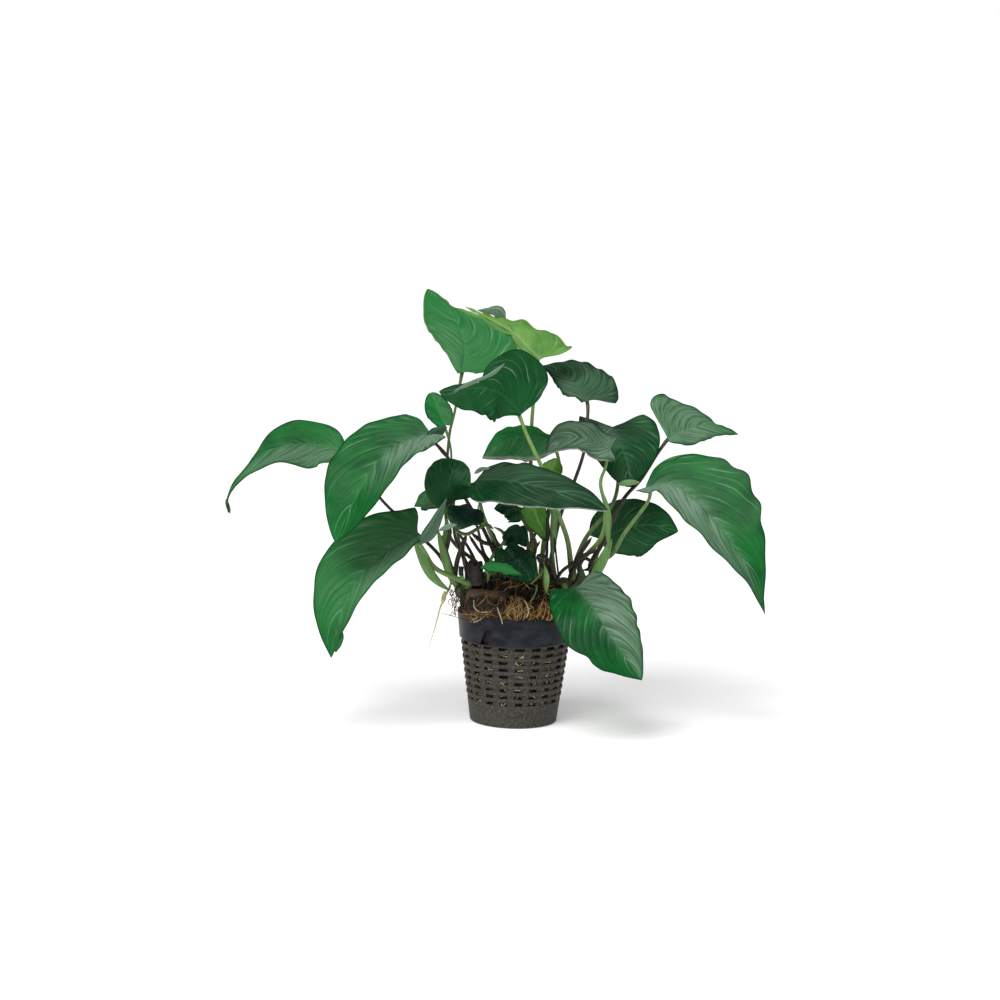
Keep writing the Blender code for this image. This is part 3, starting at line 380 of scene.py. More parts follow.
# Small stems, sheaths and buds among the stalks: points, radius, how flat, and tone, from
# black-brown (0) over olive (0.6) to light green (1)
STEMS = (
    (((-30, -6, 88), (-31, -5, 81), (-32, -4, 75), (-31, -2, 67)), 0.85, 1.0, 0.30),
    (((-23, -7, 85), (-25, -6, 79), (-27, -4, 72), (-28, -3, 62)), 1.10, 1.0, 0.28),
    (((-24, -7, 83), (-24, -8, 77), (-23, -8, 72), (-23, -7, 62)), 0.45, 1.0, 0.05),
    (((-22, -7, 85), (-18, -7, 79), (-14, -7, 73), (-13, -6, 62)), 0.75, 1.0, 0.10),
    (((-21, -7, 86), (-16, -7, 82), (-10, -6, 79), (-5, -2, 66)), 0.95, 1.0, 0.12),
    (((-12, -4, 87), (-10, -4, 82), (-7, -3, 77), (-5, -1, 64)), 0.95, 1.0, 0.25),
    (((-11, -8, 89), (-7, -9, 87), (-6, -9, 83), (-9, -9, 79), (-12, -10, 74), (-13, -9, 64)),
     0.75, 1.0, 0.62),
    (((-29, -9, 88), (-25, -10, 86), (-22, -10, 86), (-17, -10, 89), (-14, -9, 90), (-11, -8, 88)),
     0.8, 1.0, 0.60),
    (((-18, -14, 100), (-18, -13, 96), (-17, -11, 92), (-14, -9, 89)), 0.7, 0.6, 0.85),
    (((-47, -13, 88), (-43, -11, 77), (-39, -9, 68), (-35, -7, 63), (-30, -5, 59)), 2.4, 0.5, 0.78),
    (((-36, -10, 88), (-33, -8, 77), (-30, -6, 67), (-25, -4, 58)), 1.9, 0.6, 0.74),
    (((-34, -4, 84), (-31, -4, 72), (-28, -4, 65), (-23, -4, 56)), 1.6, 0.6, 0.52),
    (((-32, -4, 92), (-32, -4, 84), (-33, -4, 75)), 1.7, 0.3, 0.80),
    (((-26, -8, 71), (-25, -8, 68), (-24, -7, 62)), 1.0, 0.7, 0.80),
    (((-25, -9, 71), (-25, -10, 69), (-25, -9, 67)), 1.1, 1.0, 0.02),
    (((13, -8, 100), (13, -7, 90), (13, -5, 81), (13, -3, 66)), 0.7, 1.0, 0.05),
    (((16, -10, 100), (16, -9, 93), (16, -8, 87), (17, -7, 81)), 1.4, 0.4, 0.70),
    (((16, -8, 86), (17, -7, 78), (18, -6, 71), (19, -5, 64)), 0.45, 1.0, 0.05),
    (((17, -10, 66), (15, -12, 73), (12, -12, 77), (9, -11, 77), (10, -10, 74), (14, -8, 68)),
     0.75, 1.0, 0.08),
    (((26, -3, 73), (22, -5, 71), (19, -6, 68), (17, -6, 63)), 0.8, 1.0, 0.06),
    (((33, 0, 84), (29, -1, 78), (26, -1, 73), (23, -2, 64)), 0.9, 1.0, 0.12),
    (((37, -1, 79), (32, -1, 77), (28, -1, 75), (26, -1, 70)), 0.8, 1.0, 0.10),
    (((24, -3, 62), (27, -5, 66), (28, -8, 73), (30, -9, 76), (33, -8, 74), (32, -7, 71), (29, -6, 70)),
     0.8, 1.0, 0.03),
    (((38, -4, 104), (40, -4, 95), (40, -5, 87), (41, -6, 79)), 1.4, 0.5, 0.72),
    (((42, -2, 84), (38, -3, 74), (31, -2, 60)), 2.4, 0.6, 0.80),
    (((12, -12, 73), (13, -13, 68), (13, -12, 60)), 1.4, 0.8, 0.88),
    (((6, -16, 65), (9, -15, 68), (11, -13, 70)), 0.5, 1.0, 0.70),
    (((6, -21, 58), (8, -19, 61), (9, -16, 65)), 0.35, 1.0, 0.75),
    (((-39, -4, 127), (-37, -2, 124), (-34, 0, 120), (-32, 2, 118)), 0.6, 1.0, 0.10),
    (((3, -4, 97), (3, -4, 91), (4, -4, 83), (6, -3, 72)), 0.85, 1.0, 0.45),
    (((9, -3, 88), (7, -3, 84), (5, -3, 79), (5, -2, 70)), 0.7, 1.0, 0.40),
    (((10, -1, 82), (8, -1, 78), (6, -1, 68)), 0.6, 1.0, 0.62),
)


def unit(vectors):
    """The same directions with length 1."""
    return vectors / np.maximum(np.linalg.norm(vectors, axis=-1, keepdims=True), 1e-12)


def smooth_path(points, samples):
    """Evenly spaced points on a Catmull-Rom curve through the given points."""
    knots = np.array(points, float)
    knots = np.vstack([2 * knots[0] - knots[1], knots, 2 * knots[-1] - knots[-2]])
    t = (np.arange(CURVE_STEPS) / CURVE_STEPS)[:, None]
    dense = [0.5 * (2 * b + (c - a) * t + (2 * a - 5 * b + 4 * c - d) * t ** 2
                    + (3 * b - a - 3 * c + d) * t ** 3)
             for a, b, c, d in zip(knots, knots[1:], knots[2:], knots[3:])]
    return resample(np.vstack(dense + [knots[-2:-1]]), samples)


def resample(path, samples):
    """The same route with evenly spaced points."""
    steps = np.linalg.norm(np.diff(path, axis=0), axis=1)
    lengths = np.concatenate([[0.0], np.cumsum(steps)])
    targets = np.linspace(0, lengths[-1], samples)
    return np.stack([np.interp(targets, lengths, path[:, axis]) for axis in range(3)], axis=1)


def facing(heading, tilt):
    """Unit vector tilted from straight up towards a heading, where heading 0 is the front."""
    heading = math.radians(heading)
    tilt = math.radians(tilt)
    return np.array([math.sin(tilt) * math.sin(heading), -math.sin(tilt) * math.cos(heading),
                     math.cos(tilt)])


def leaf_frame(leaf):
    """The midrib and, along it, its direction, side and face."""
    path = smooth_path(leaf["rib"], PATH_SAMPLES)
    along = unit(np.gradient(path, axis=0))
    first, middle, last = [facing(*pair) for pair in leaf["face"]]
    t = np.linspace(0, 1, PATH_SAMPLES)[:, None]
    look = first * (1 - t) * (1 - 2 * t) + middle * 4 * t * (1 - t) + last * t * (2 * t - 1)
    side = unit(np.cross(along, look))
    return path, along, side, np.cross(side, along)


def on_rib(rib_frame, a):
    """The frame at shares a of the midrib; behind the base it runs straight back."""
    place = np.clip(a, 0.0, 1.0) * (PATH_SAMPLES - 1)
    low = np.minimum(place.astype(int), PATH_SAMPLES - 2)
    share = (place - low)[..., None]
    point, along, side, face = [rows[low] * (1 - share) + rows[low + 1] * share
                                for rows in rib_frame]
    length = np.linalg.norm(rib_frame[0][1] - rib_frame[0][0]) * (PATH_SAMPLES - 1)
    point = point + unit(along) * (np.minimum(a, 0.0) * length)[..., None]
    return point, unit(along), unit(side), unit(face)


def outline(v, peak, tip, base):
    """Share of the greatest half-width at v, from the base (0) to the tip (1)."""
    rise = base + (1 - base) * np.sin(math.pi / 2 * np.clip(v / peak, 0, 1)) ** 0.9
    fall = np.clip((v - peak) / (1 - peak), 0, 1)
    narrow = np.maximum(np.cos(math.pi / 2 * fall) ** tip, TAIL_SHARE * (1 - fall ** 8))
    return np.where(v < peak, rise, narrow)


def is_big(leaf):
    """Whether a leaf gets the fine grid and the thick stalk."""
    return max(leaf["half"]) > BIG_HALF_WIDTH


def blade_surface(leaf, finish, rng, v, u):
    """Middle of the blade on a grid of v along and u across it, and its values for the shader."""
    across = np.abs(u)
    right = u > 0
    peak, tip, base, half, fold, lobe = [np.where(right, leaf[key][1], leaf[key][0]) for key in
                                         ("peak", "tip", "base", "half", "fold", "lobe")]
    half_width = half * outline(v, peak, tip, base)
    reach = half_width * across
    scallops = np.sin(TAU * (SCALLOPS * v + SCALLOP_SHIFT * right)) * np.sin(math.pi * v)
    reach = reach * (1 + finish["scallop"] * across ** 3 * scallops)
    half_bitten, bite_at, bite = finish["bite"]
    bitten = across ** 3 * np.exp(-((v - bite_at) / BITE_WIDTH) ** 2) * (right == half_bitten)
    reach = reach * (1 - bite * bitten)
    corner = np.clip((across - LOBE_ROUND_START) / (1 - LOBE_ROUND_START), 0, 1) ** 2
    swept = (v - lobe * (1 - v) ** 3 * across ** 1.5
             + LOBE_ROUND * base * corner * np.exp(-v / LOBE_ROUND_FADE))
    point, _, side, face = on_rib(leaf_frame(leaf), swept)
    bend = np.radians(fold * (0.5 + 0.5 * across))
    lift = margin_waves(leaf["wave"], finish["ruffle"], rng, v, u)
    sign = np.where(right, 1.0, -1.0)
    middle = (point + side * (sign * reach * np.cos(bend))[..., None]
              + face * (reach * np.sin(bend) + lift)[..., None])
    ahead = np.maximum(VEIN_SWEEP * across ** VEIN_CURVE, 1e-6)
    phase = np.where(v > ahead, finish["veins"] * (v - ahead), FAN_VEINS * (v / ahead - 1))
    return middle, reach, half_width * (1 - across), phase + 0.35 * right


def margin_waves(wave, ruffle, rng, v, u):
    """How far the blade is lifted off its curve: the leaf's own waves, three odd ones and ruffles."""
    across = np.abs(u)
    right = u > 0
    height, count = wave
    lift = height * across ** 2 * np.sin(TAU * (count * v + 0.3 * right)) * (1 - v)
    for _ in range(3):
        turns = rng.uniform(1.0, 3.0)
        lift += (0.35 * np.sin(TAU * (turns * v + rng.uniform(0.3, 1.2) * u + rng.random()))
                 * across * (1 - v))
    small = rng.uniform(5.5, 7.5)
    lift += (ruffle * across ** 4 * np.sin(TAU * (small * v + rng.random() + 0.5 * right))
             * np.sin(math.pi * v))
    return lift


def blade_relief(finish, scale, v, u, rib, rim, phase, middle):
    """The sunken midrib, the puffs between the side veins, and creases."""
    width = 0.5 + 0.6 * (1 - v)
    groove = -RIB_GROOVE * scale * np.exp(-(rib / width) ** 2) * (1 - 0.6 * v)
    puff = np.abs(np.sin(math.pi * phase)) ** 0.8
    fade = (1 - np.abs(u) ** 4) * (1 - np.exp(-rib / 1.5)) * (1 - v ** 3)
    relief = groove + finish["pleat"] * scale * puff * fade
    if finish["rumple"]:
        spots = middle.reshape(-1, 3)
        crease = np.abs(noise_at(spots, 6.0, 1.5)) + 0.6 * np.abs(noise_at(spots, 3.0, 6.5))
        relief += finish["rumple"] * (0.5 - 2.2 * crease.reshape(v.shape)) * np.minimum(rim / 2, 1)
    return relief


def blade_faces(rows, columns):
    """Quads of the upper side, the lower side and the strip that joins them at the margin."""
    count = (rows + 1) * (columns + 1)
    index = np.arange(count).reshape(rows + 1, columns + 1)
    quads = np.stack([index[:-1, :-1], index[:-1, 1:], index[1:, 1:], index[1:, :-1]], axis=-1)
    quads = quads.reshape(-1, 4)
    edge = np.concatenate([index[0, :], index[1:, -1], index[-1, -2::-1], index[-2:0:-1, 0]])
    after = np.roll(edge, -1)
    strip = np.stack([edge, edge + count, after + count, after], axis=-1)
    return np.concatenate([quads, quads[:, ::-1] + count, strip])


def blade_layers(finish, v, u, rib, rim, phase):
    """What the shader reads at each point of the upper side and then of the lower side."""
    # The painted sheen on each half and on the rolled margins: greys that stand in for reflected light
    left, right, end = finish["pale"]
    turn = 1 / (1 + np.exp(-u * 14))
    pale = (left + (right - left) * turn) * np.clip(1.3 - v / end, 0, 1)
    roll = np.where(u > 0, finish["roll"][1], finish["roll"][0]) * np.clip(v / 0.1, 0, 1)
    layers = dict(vein=phase, rib=rib, rim=rim, margin=finish["margin"], tint=finish["tint"],
                  pale=pale, roll=roll, dim=finish["dim"])
    layers = {key: np.tile(np.broadcast_to(value, v.shape).ravel(), 2)
              for key, value in layers.items()}
    layers["under"] = np.repeat([0.0, 1.0], v.size)
    return layers


def add_blade(name, leaf, material):
    """A thin blade with a sunken midrib, puffed up between its side veins."""
    finish = PLAIN_FINISH | FINISHES[name]
    rows, columns = BIG_GRID if is_big(leaf) else SMALL_GRID
    s = np.arange(rows + 1) / (rows + 0.6)
    v, u = np.meshgrid(1 - (1 - s) ** TIP_SPACING, np.linspace(-1, 1, columns + 1), indexing="ij")
    middle, rib, rim, phase = blade_surface(leaf, finish, random.Random(name), v, u)
    normal = unit(np.cross(np.gradient(middle, axis=1), np.gradient(middle, axis=0)))
    scale = min(max(leaf["half"]) / 18, 1.0)
    relief = blade_relief(finish, scale, v, u, rib, rim, phase, middle)
    thick = MARGIN_THICKNESS + (BLADE_THICKNESS - MARGIN_THICKNESS) * (1 - np.exp(-rim / 1.2))
    upper = middle + normal * (relief + thick / 2)[..., None]
    lower = middle + normal * (relief - thick / 2)[..., None]
    points = np.concatenate([upper.reshape(-1, 3), lower.reshape(-1, 3)])
    piece = add_mesh("blade_" + name, points, blade_faces(rows, columns), material,
                     blade_layers(finish, v, u, rib, rim, phase))
    piece.data.set_sharp_from_angle(angle=math.radians(MARGIN_ANGLE))
    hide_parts("leaf_" + name)


def add_mesh(name, points, faces, material, layers=None):
    """One piece from points in millimetres, with values for its shader."""
    mesh = bpy.data.meshes.new(name)
    mesh.from_pydata((np.asarray(points) * MM).tolist(), [],
                     [list(map(int, face)) for face in faces])
    for key, values in (layers or {}).items():
        layer = mesh.attributes.new(key, "FLOAT", "POINT")
        layer.data.foreach_set("value", np.asarray(values, np.float32))
    mesh.validate()
    mesh.shade_smooth()
    mesh.materials.append(material)
    piece = bpy.data.objects.new(name, mesh)
    bpy.context.scene.collection.objects.link(piece)
    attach(piece, "root")
    return piece


def tube(path, radii, sides, flat=1.0, normal=(0.3, 1.0, 0.2)):
    """Points and faces of a closed tube along a path, each ring a circle or a flattened one."""
    along = unit(np.gradient(path, axis=0))
    normal = np.array(normal, float)
    angles = TAU * np.arange(sides) / sides
    rings = []
    for centre, direction, radius in zip(path, along, radii):
        normal = unit(normal - direction * np.dot(normal, direction))
        other = np.cross(direction, normal)
        rings.append(centre + radius * (np.cos(angles)[:, None] * other
                                        + flat * np.sin(angles)[:, None] * normal))
    count = len(path)
    index = np.arange(count * sides).reshape(count, sides)
    after = np.roll(index, -1, axis=1)
    quads = np.stack([index[:-1], index[1:], after[1:], after[:-1]], axis=-1).reshape(-1, 4)
    faces = [list(quad) for quad in quads] + [list(index[0]), list(index[-1][::-1])]
    return np.concatenate(rings), faces


class Pile:
    """Many closed bodies that become one mesh, each with a tone for the shader."""

    def __init__(self):
        self.points = []
        self.faces = []
        self.tones = []
        self.count = 0

    def add(self, points, faces, tone):
        self.faces += [[corner + self.count for corner in face] for face in faces]
        self.points.append(points)
        self.tones.append(np.full(len(points), float(tone)))
        self.count += len(points)

    def finish(self, name, material, slot):
        layers = dict(tone=np.concatenate(self.tones))
        return add_mesh(name, np.concatenate(self.points), self.faces, material, layers)


def rhizome_radius(share):
    """Radius of the living rhizome, which thins out towards its growing end."""
    fall = np.maximum(share - RHIZOME_TAPER_START, 0.0) / (1 - RHIZOME_TAPER_START)
    return RHIZOME_RADIUS + (RHIZOME_TIP_RADIUS - RHIZOME_RADIUS) * fall


def seat_point(share, angle):
    """Centre of the living rhizome and the way out of it; angle 0 is up, positive to the back."""
    path = smooth_path(RHIZOME_PATH, PATH_SAMPLES)
    place = share * (PATH_SAMPLES - 1)
    low = min(int(place), PATH_SAMPLES - 2)
    centre = path[low] + (path[low + 1] - path[low]) * (place - low)
    along = unit(path[low + 1] - path[low])
    up = unit(UP - along * along[2])
    back = np.cross(up, along)
    angle = math.radians(angle)
    return centre, up * math.cos(angle) + back * math.sin(angle)


def stalk_route(leaf):
    """From inside the rhizome to the blade's base and on along the midrib's underside."""
    rib_frame = leaf_frame(leaf)
    share, angle = leaf["seat"]
    centre, outward = seat_point(share, angle)
    reach = rhizome_radius(share) * (1 + RHIZOME_BUMP) + SEAT_CLEARANCE
    base, _, _, face = on_rib(rib_frame, np.array(0.02))
    route = [centre + outward * reach, centre + outward * (reach + STALK_RISE),
             *[np.array(knee, float) for knee in reversed(leaf["knees"])], base - face * NECK_DROP]
    free = smooth_path(route, 80)
    inner = centre + outward * (reach - STALK_SUNK)
    s = np.linspace(0.05, RIDGE_END, 50)
    ridge, _, _, face = on_rib(rib_frame, s)
    depth = RIDGE_DEPTH + 1.2 * np.exp(-(s - 0.03) / 0.10)
    ridge = ridge - face * depth[:, None]
    return inner, free, ridge


def add_stalk(name, leaf, material):
    """A stalk with a swollen foot, which thins out along the underside of its blade."""
    inner, free, ridge = stalk_route(leaf)
    path = resample(np.concatenate([[inner], free, ridge]), STALK_RINGS + 1)
    for _ in range(3):
        path[1:-1] = (path[:-2] + 2 * path[1:-1] + path[2:]) / 4
    lengths = np.concatenate([[0.0], np.cumsum(np.linalg.norm(np.diff(path, axis=0), axis=1))])
    ridge_length = np.sum(np.linalg.norm(np.diff(ridge, axis=0), axis=1))
    stalk_length = lengths[-1] - ridge_length
    share = np.clip(lengths / stalk_length, 0, 1)
    beyond = np.clip((lengths - stalk_length) / ridge_length, 0, 1)
    foot, end = STALK_RADII if is_big(leaf) else SMALL_STALK_RADII
    thick, tint = (PLAIN_FINISH | FINISHES[name])["stalk"]
    thick = 1 + (thick - 1) * np.clip((stalk_length - lengths) / 15, 0, 1)
    radii = thick * (foot + (end - foot) * share)
    radii += FOOT_SWELL * foot * np.exp(-lengths / FOOT_SWELL_LENGTH)
    radii += NECK_SWELL * end * np.exp(-((lengths - stalk_length + 2) / NECK_SWELL_LENGTH) ** 2)
    radii *= (1 - RIDGE_NARROWING * beyond ** 0.6) * np.where(beyond > 0.97, 0.6, 1.0)
    points, faces = tube(path, radii, STALK_SIDES)
    layers = dict(along=np.repeat(share, STALK_SIDES), tint=np.full(len(points), tint))
    piece = add_mesh("petiole_" + name, points, faces, material, layers)
    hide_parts("stalk_" + name)


def pot_profile_radius(z):
    """Outer radius of the net at height z."""
    return BASE_RADIUS + (NET_TOP_RADIUS - BASE_RADIUS) * z / NET_HEIGHT


def pot_rings():
    """Heights from the rim down, with what each belongs to: a slot row, a rib, or the collar."""
    rings = []
    for z, inset in ((0.0, 0.30), (0.12, 0.12), (0.35, 0.0), (2.0, 0.0), (2.1, 0.0)):
        rings.append((POT_HEIGHT - z, RIM_RADIUS - COLLAR_TAPER * z / COLLAR_HEIGHT - inset, "collar"))
    for z in (NOTCH_HEIGHT + 0.1, NOTCH_HEIGHT, NOTCH_HEIGHT * 0.75, NOTCH_HEIGHT * 0.4, 0.5, 0.15):
        share = z / COLLAR_HEIGHT
        rings.append((NET_HEIGHT + z, COLLAR_FOOT_RADIUS + COLLAR_TAPER * share, "collar"))
    rings.append((NET_HEIGHT, COLLAR_FOOT_RADIUS - 0.2, "collar"))
    rings.append((NET_HEIGHT - 0.02, NET_TOP_RADIUS, "rib"))
    top = NET_HEIGHT - NET_TOP_MARGIN
    for row in range(SLOT_ROWS):
        high = top - row * SLOT_PITCH
        for share in (0.0, 0.1, 0.5, 0.9):
            z = high - SLOT_HEIGHT * share
            rings.append((z, pot_profile_radius(z), "slot"))
        low = high - SLOT_HEIGHT
        rib = SLOT_PITCH - SLOT_HEIGHT
        rings.append((low, pot_profile_radius(low), "rib"))
        if row < SLOT_ROWS - 1:
            for share in (0.12, 0.35, 0.65, 0.88):
                z = low - rib * share
                proud = RIB_PROUD * math.sin(math.pi * share)
                rings.append((z, pot_profile_radius(z) + proud, "rib"))
    low = top - (SLOT_ROWS - 1) * SLOT_PITCH - SLOT_HEIGHT
    for z in (low * 0.5, 0.4, 0.1):
        rings.append((z, pot_profile_radius(z), "rib"))
    rings.append((0.0, BASE_RADIUS - 0.3, "rib"))
    return rings


def circle(radii, angles, z):
    """Points round the pot's axis at height z, where angle 0 is the front."""
    return np.stack([radii * np.sin(angles), -radii * np.cos(angles), np.full(len(angles), z)], axis=1)


def turned_at_notch(angles, z):
    """The angles round the pot, moved so that the collar's notch leans and narrows upwards."""
    share = (z - NET_HEIGHT) / NOTCH_HEIGHT
    lean = NOTCH_LEAN * np.interp(share, (-0.01, 0, 1, 1.01), (0, -1, 1, 1.7))
    squeeze = NOTCH_NARROWING * np.clip(share, 0, 1)
    aside = angles - NOTCH_ANGLE
    return angles + (lean - squeeze * aside) * np.exp(-(aside / 0.2) ** 2)


def pot_openings(rings, in_slot, at_notch):
    """Which cells below each ring are open: the net's slots and the collar's notch."""
    is_open = np.zeros((len(rings) - 1, len(in_slot)), bool)
    for row, ((_, _, kind), (low, _, low_kind)) in enumerate(zip(rings, rings[1:])):
        if kind == "slot":
            is_open[row] = in_slot
        elif kind == low_kind == "collar" and low < NET_HEIGHT + NOTCH_HEIGHT - 0.01:
            is_open[row] = at_notch
    return is_open


def shell_faces(is_open):
    """Faces of the outer and the inner wall, of the openings' sides, the rim and the floor."""
    rows, count = is_open.shape
    shift = (rows + 1) * count
    faces = []
    for row in range(rows):
        for column in range(count):
            after = (column + 1) % count
            a = row * count + column
            b = row * count + after
            c = b + count
            d = a + count
            if not is_open[row, column]:
                faces.append([d, c, b, a])
                faces.append([shift + a, shift + b, shift + c, shift + d])
                continue
            for beside, first, last in (((row - 1, column), b, a), ((row + 1, column), d, c),
                                        ((row, column - 1), a, d), ((row, after), c, b)):
                if not is_open[beside]:
                    faces.append([first, last, shift + last, shift + first])
    for column in range(count):
        after = (column + 1) % count
        faces.append([column, after, shift + after, shift + column])
    bottom = rows * count
    faces.append([bottom + column for column in range(count)])
    faces.append([shift + bottom + column for column in range(count)][::-1])
    return faces


def add_pot(material):
    """The net pot's shell: a collar with a notch over a lattice whose level ribs stand proud."""
    rings = pot_rings()
    angles = np.array([TAU * (column + share) / SLOT_COLUMNS
                       for column in range(SLOT_COLUMNS) for share in COLUMN_SHARES])
    in_slot = np.array([share < SLOT_SHARE for share in COLUMN_SHARES] * SLOT_COLUMNS)
    at_notch = in_slot & (np.repeat(np.arange(SLOT_COLUMNS), len(COLUMN_SHARES)) == NOTCH_SLOT_COLUMN)
    groove = GROOVE_DEPTH * (at_notch & (np.abs(angles - NOTCH_ANGLE) < 0.01))
    outer = []
    inner = []
    for z, radius, kind in rings:
        radii = np.full(len(angles), radius)
        if kind == "slot":
            radii -= SLOT_INSET
        if kind == "collar" and NET_HEIGHT + NOTCH_HEIGHT < z < POT_HEIGHT - 2:
            radii -= groove
        turned = turned_at_notch(angles, z)
        outer.append(circle(radii, turned, z))
        wall = WALL if z < NET_HEIGHT else COLLAR_WALL
        inside = min(radius, pot_profile_radius(z) + 2.0) - wall
        inner.append(circle(inside, turned, max(z, FLOOR)))
    faces = shell_faces(pot_openings(rings, in_slot, at_notch))
    piece = add_mesh("pot", np.concatenate(outer + inner), faces, material)
    piece.data.set_sharp_from_angle(angle=math.radians(POT_EDGE_ANGLE))
    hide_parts("net_pot")


def noise_at(points, size, seed=0.0):
    """Smooth noise from -1 to 1 whose lumps are about as large as size, in millimetres."""
    shift = Vector((seed, seed * 1.7, seed * 2.3))
    return np.array([noise.noise(Vector(point) / size + shift) for point in points])


def log_relief(x, y):
    """Highest that the medium may stand beside the half-buried rhizomes, seen from above."""
    limit = np.full(x.shape, np.inf)
    for path, radius in ((RHIZOME_PATH, RHIZOME_RADIUS), (OLD_RHIZOME_PATH, OLD_RHIZOME_RADIUS)):
        for centre in smooth_path(path, 40):
            flat = np.hypot(x - centre[0], y - centre[1])
            clear = LOG_SHOWN * radius + 1.4 * np.maximum(flat - radius, 0.0)
            limit = np.minimum(limit, centre[2] + clear)
    return limit


def medium_height(x, y):
    """Height of the medium's crown, without its small lumps."""
    share = np.clip(np.hypot(x, y) / MEDIUM_RADIUS, 0, 1)
    angle = np.arctan2(x, -y)
    slope = np.clip((y - FRONT_FOOT) / (FRONT_TOP - FRONT_FOOT), 0, 1)
    front = 0.15 + 0.85 * slope ** 2 * (3 - 2 * slope)
    crown = MEDIUM_CROWN * (1 - MEDIUM_TILT * x / MEDIUM_RADIUS)
    height = POT_HEIGHT - MEDIUM_EDGE_DROP + crown * front * (1 - share ** 5) ** 0.4
    for size, turns, swirl in MEDIUM_LUMPS:
        height = height + size * np.sin(turns * angle + swirl * 6 * (1 - share)) * (1 - share)
    return np.minimum(height, log_relief(x, y))


def add_medium(material):
    """Rough fibre that fills the pot and swells over its rim."""
    angles = TAU * np.arange(MEDIUM_SIDES) / MEDIUM_SIDES
    rings = [circle(pot_profile_radius(z) - WALL - 0.4, angles, z)
             for z in (FLOOR + 0.3, 4, 8, 12, 16, 20, 24, 28, 32, 34)]
    rings.append(circle(MEDIUM_RADIUS - 1.6, angles, NET_HEIGHT))
    rings.append(circle(MEDIUM_RADIUS - 0.6, angles, CROWN_START))
    for share in 1.0 - np.linspace(0.0, 0.99, 70) ** 1.5:
        x = MEDIUM_RADIUS * share * np.sin(angles)
        y = -MEDIUM_RADIUS * share * np.cos(angles)
        rings.append(np.stack([x, y, medium_height(x, y)], axis=1))
    points = np.concatenate(rings)
    on_crown = points[:, 2] > CROWN_START
    outward = unit(points * np.array([1.0, 1.0, 0.0]) / MEDIUM_RADIUS + UP * on_crown[:, None])
    rough = (1.3 * noise_at(points, 6.0) + 1.1 * noise_at(points, 2.6, 3.1)
             + 0.8 * noise_at(points, 1.1, 7.7))
    rough *= np.where(on_crown, 1.0, 0.45)
    points = points + outward * rough[:, None]
    index = np.arange(len(points)).reshape(len(rings), MEDIUM_SIDES)
    after = np.roll(index, -1, axis=1)
    quads = np.stack([index[:-1], after[:-1], after[1:], index[1:]], axis=-1).reshape(-1, 4)
    faces = [list(quad) for quad in quads] + [list(index[0][::-1]), list(index[-1])]
    piece = add_mesh("medium", points, faces, material,
                     dict(tone=np.full(len(points), -1.0)))
    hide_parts("growing_medium")


def tapered(thick, end, power, count):
    """Radii of a strand that thins out towards both of its ends."""
    return thick * np.sin(np.linspace(end, math.pi - end, count)) ** power


def add_crown_fibres(pile, rng):
    """Loose strands that wander over the medium's crown."""
    steps = 11
    for _ in range(CROWN_FIBRES):
        radius = CROWN_FIBRES_START * math.sqrt(rng.random())
        angle = rng.uniform(0, TAU)
        heading = rng.uniform(0, TAU)
        curl = rng.gauss(0, 0.16)
        length = rng.uniform(4, 15)
        lift = rng.uniform(-0.2, 1.4)
        x = radius * math.sin(angle)
        y = -radius * math.cos(angle)
        path = []
        for step in range(steps):
            if math.hypot(x, y) > CROWN_FIBRES_EDGE:
                x *= CROWN_FIBRES_EDGE / math.hypot(x, y)
                y *= CROWN_FIBRES_EDGE / math.hypot(x, y)
            z = float(medium_height(np.array(x), np.array(y)))
            arch = math.sin(math.pi * step / (steps - 1)) * lift
            path.append((x, y, z + 0.4 + arch + rng.uniform(-0.15, 0.15)))
            heading += curl + rng.gauss(0, 0.22)
            x += math.cos(heading) * length / steps
            y += math.sin(heading) * length / steps
        radii = tapered(rng.uniform(0.10, 0.30), 0.25, 0.5, 14)
        pile.add(*tube(smooth_path(path, 14), radii, 4, normal=(0, 0.1, 1)), rng.random() ** 1.7)


def add_wall_fibres(pile, rng):
    """Strands that show through the net's slots."""
    steps = 9
    for _ in range(WALL_FIBRES):
        angle = rng.uniform(0, TAU)
        z = rng.uniform(4, 36)
        heading = rng.gauss(0, 0.8)
        length = rng.uniform(3, 10)
        inset = rng.uniform(-0.45, 0.1)
        path = []
        for _ in range(steps):
            z_here = min(max(z, 2.5), 36.0)
            radius = pot_profile_radius(z_here) - WALL - inset
            path.append((radius * math.sin(angle), -radius * math.cos(angle), z_here))
            heading += rng.gauss(0, 0.3)
            z += math.sin(heading) * length / steps
            angle += math.cos(heading) * length / steps / radius
        radii = tapered(rng.uniform(0.12, 0.40), 0.3, 0.4, 10)
        pile.add(*tube(smooth_path(path, 10), radii, 4, normal=(0, 0.1, 1)), rng.choice(WALL_TONES))


def add_tufts(pile, rng):
    """Standing tufts at the rim, reddish at the left and golden elsewhere."""
    for x, y, width, height, strands in TUFTS:
        for _ in range(strands):
            lean = rng.uniform(-1, 1)
            foot = np.array((x + lean * width, y + rng.uniform(-1.6, 1.6), POT_HEIGHT - 2.0))
            rise = height * (1 - 0.55 * abs(lean) ** 1.5) * rng.uniform(0.4, 1.0)
            top = foot + np.array((rng.gauss(0.2, 0.9) * width, rng.uniform(-0.8, 3.5), rise + 2.0))
            sway = np.array((rng.gauss(0, 2.6), rng.gauss(-0.6, 0.9), rng.uniform(0.0, 2.0)))
            path = smooth_path((foot, foot * 0.6 + top * 0.4 + sway, top), 12)
            radii = rng.uniform(0.10, 0.34) * np.linspace(1.0, 0.4, 12)
            tone = rng.choice(RED_TONES if x < -5 else GOLD_TONES)
            pile.add(*tube(path, radii, 5, 0.5, (0, 1, 0.1)), tone)


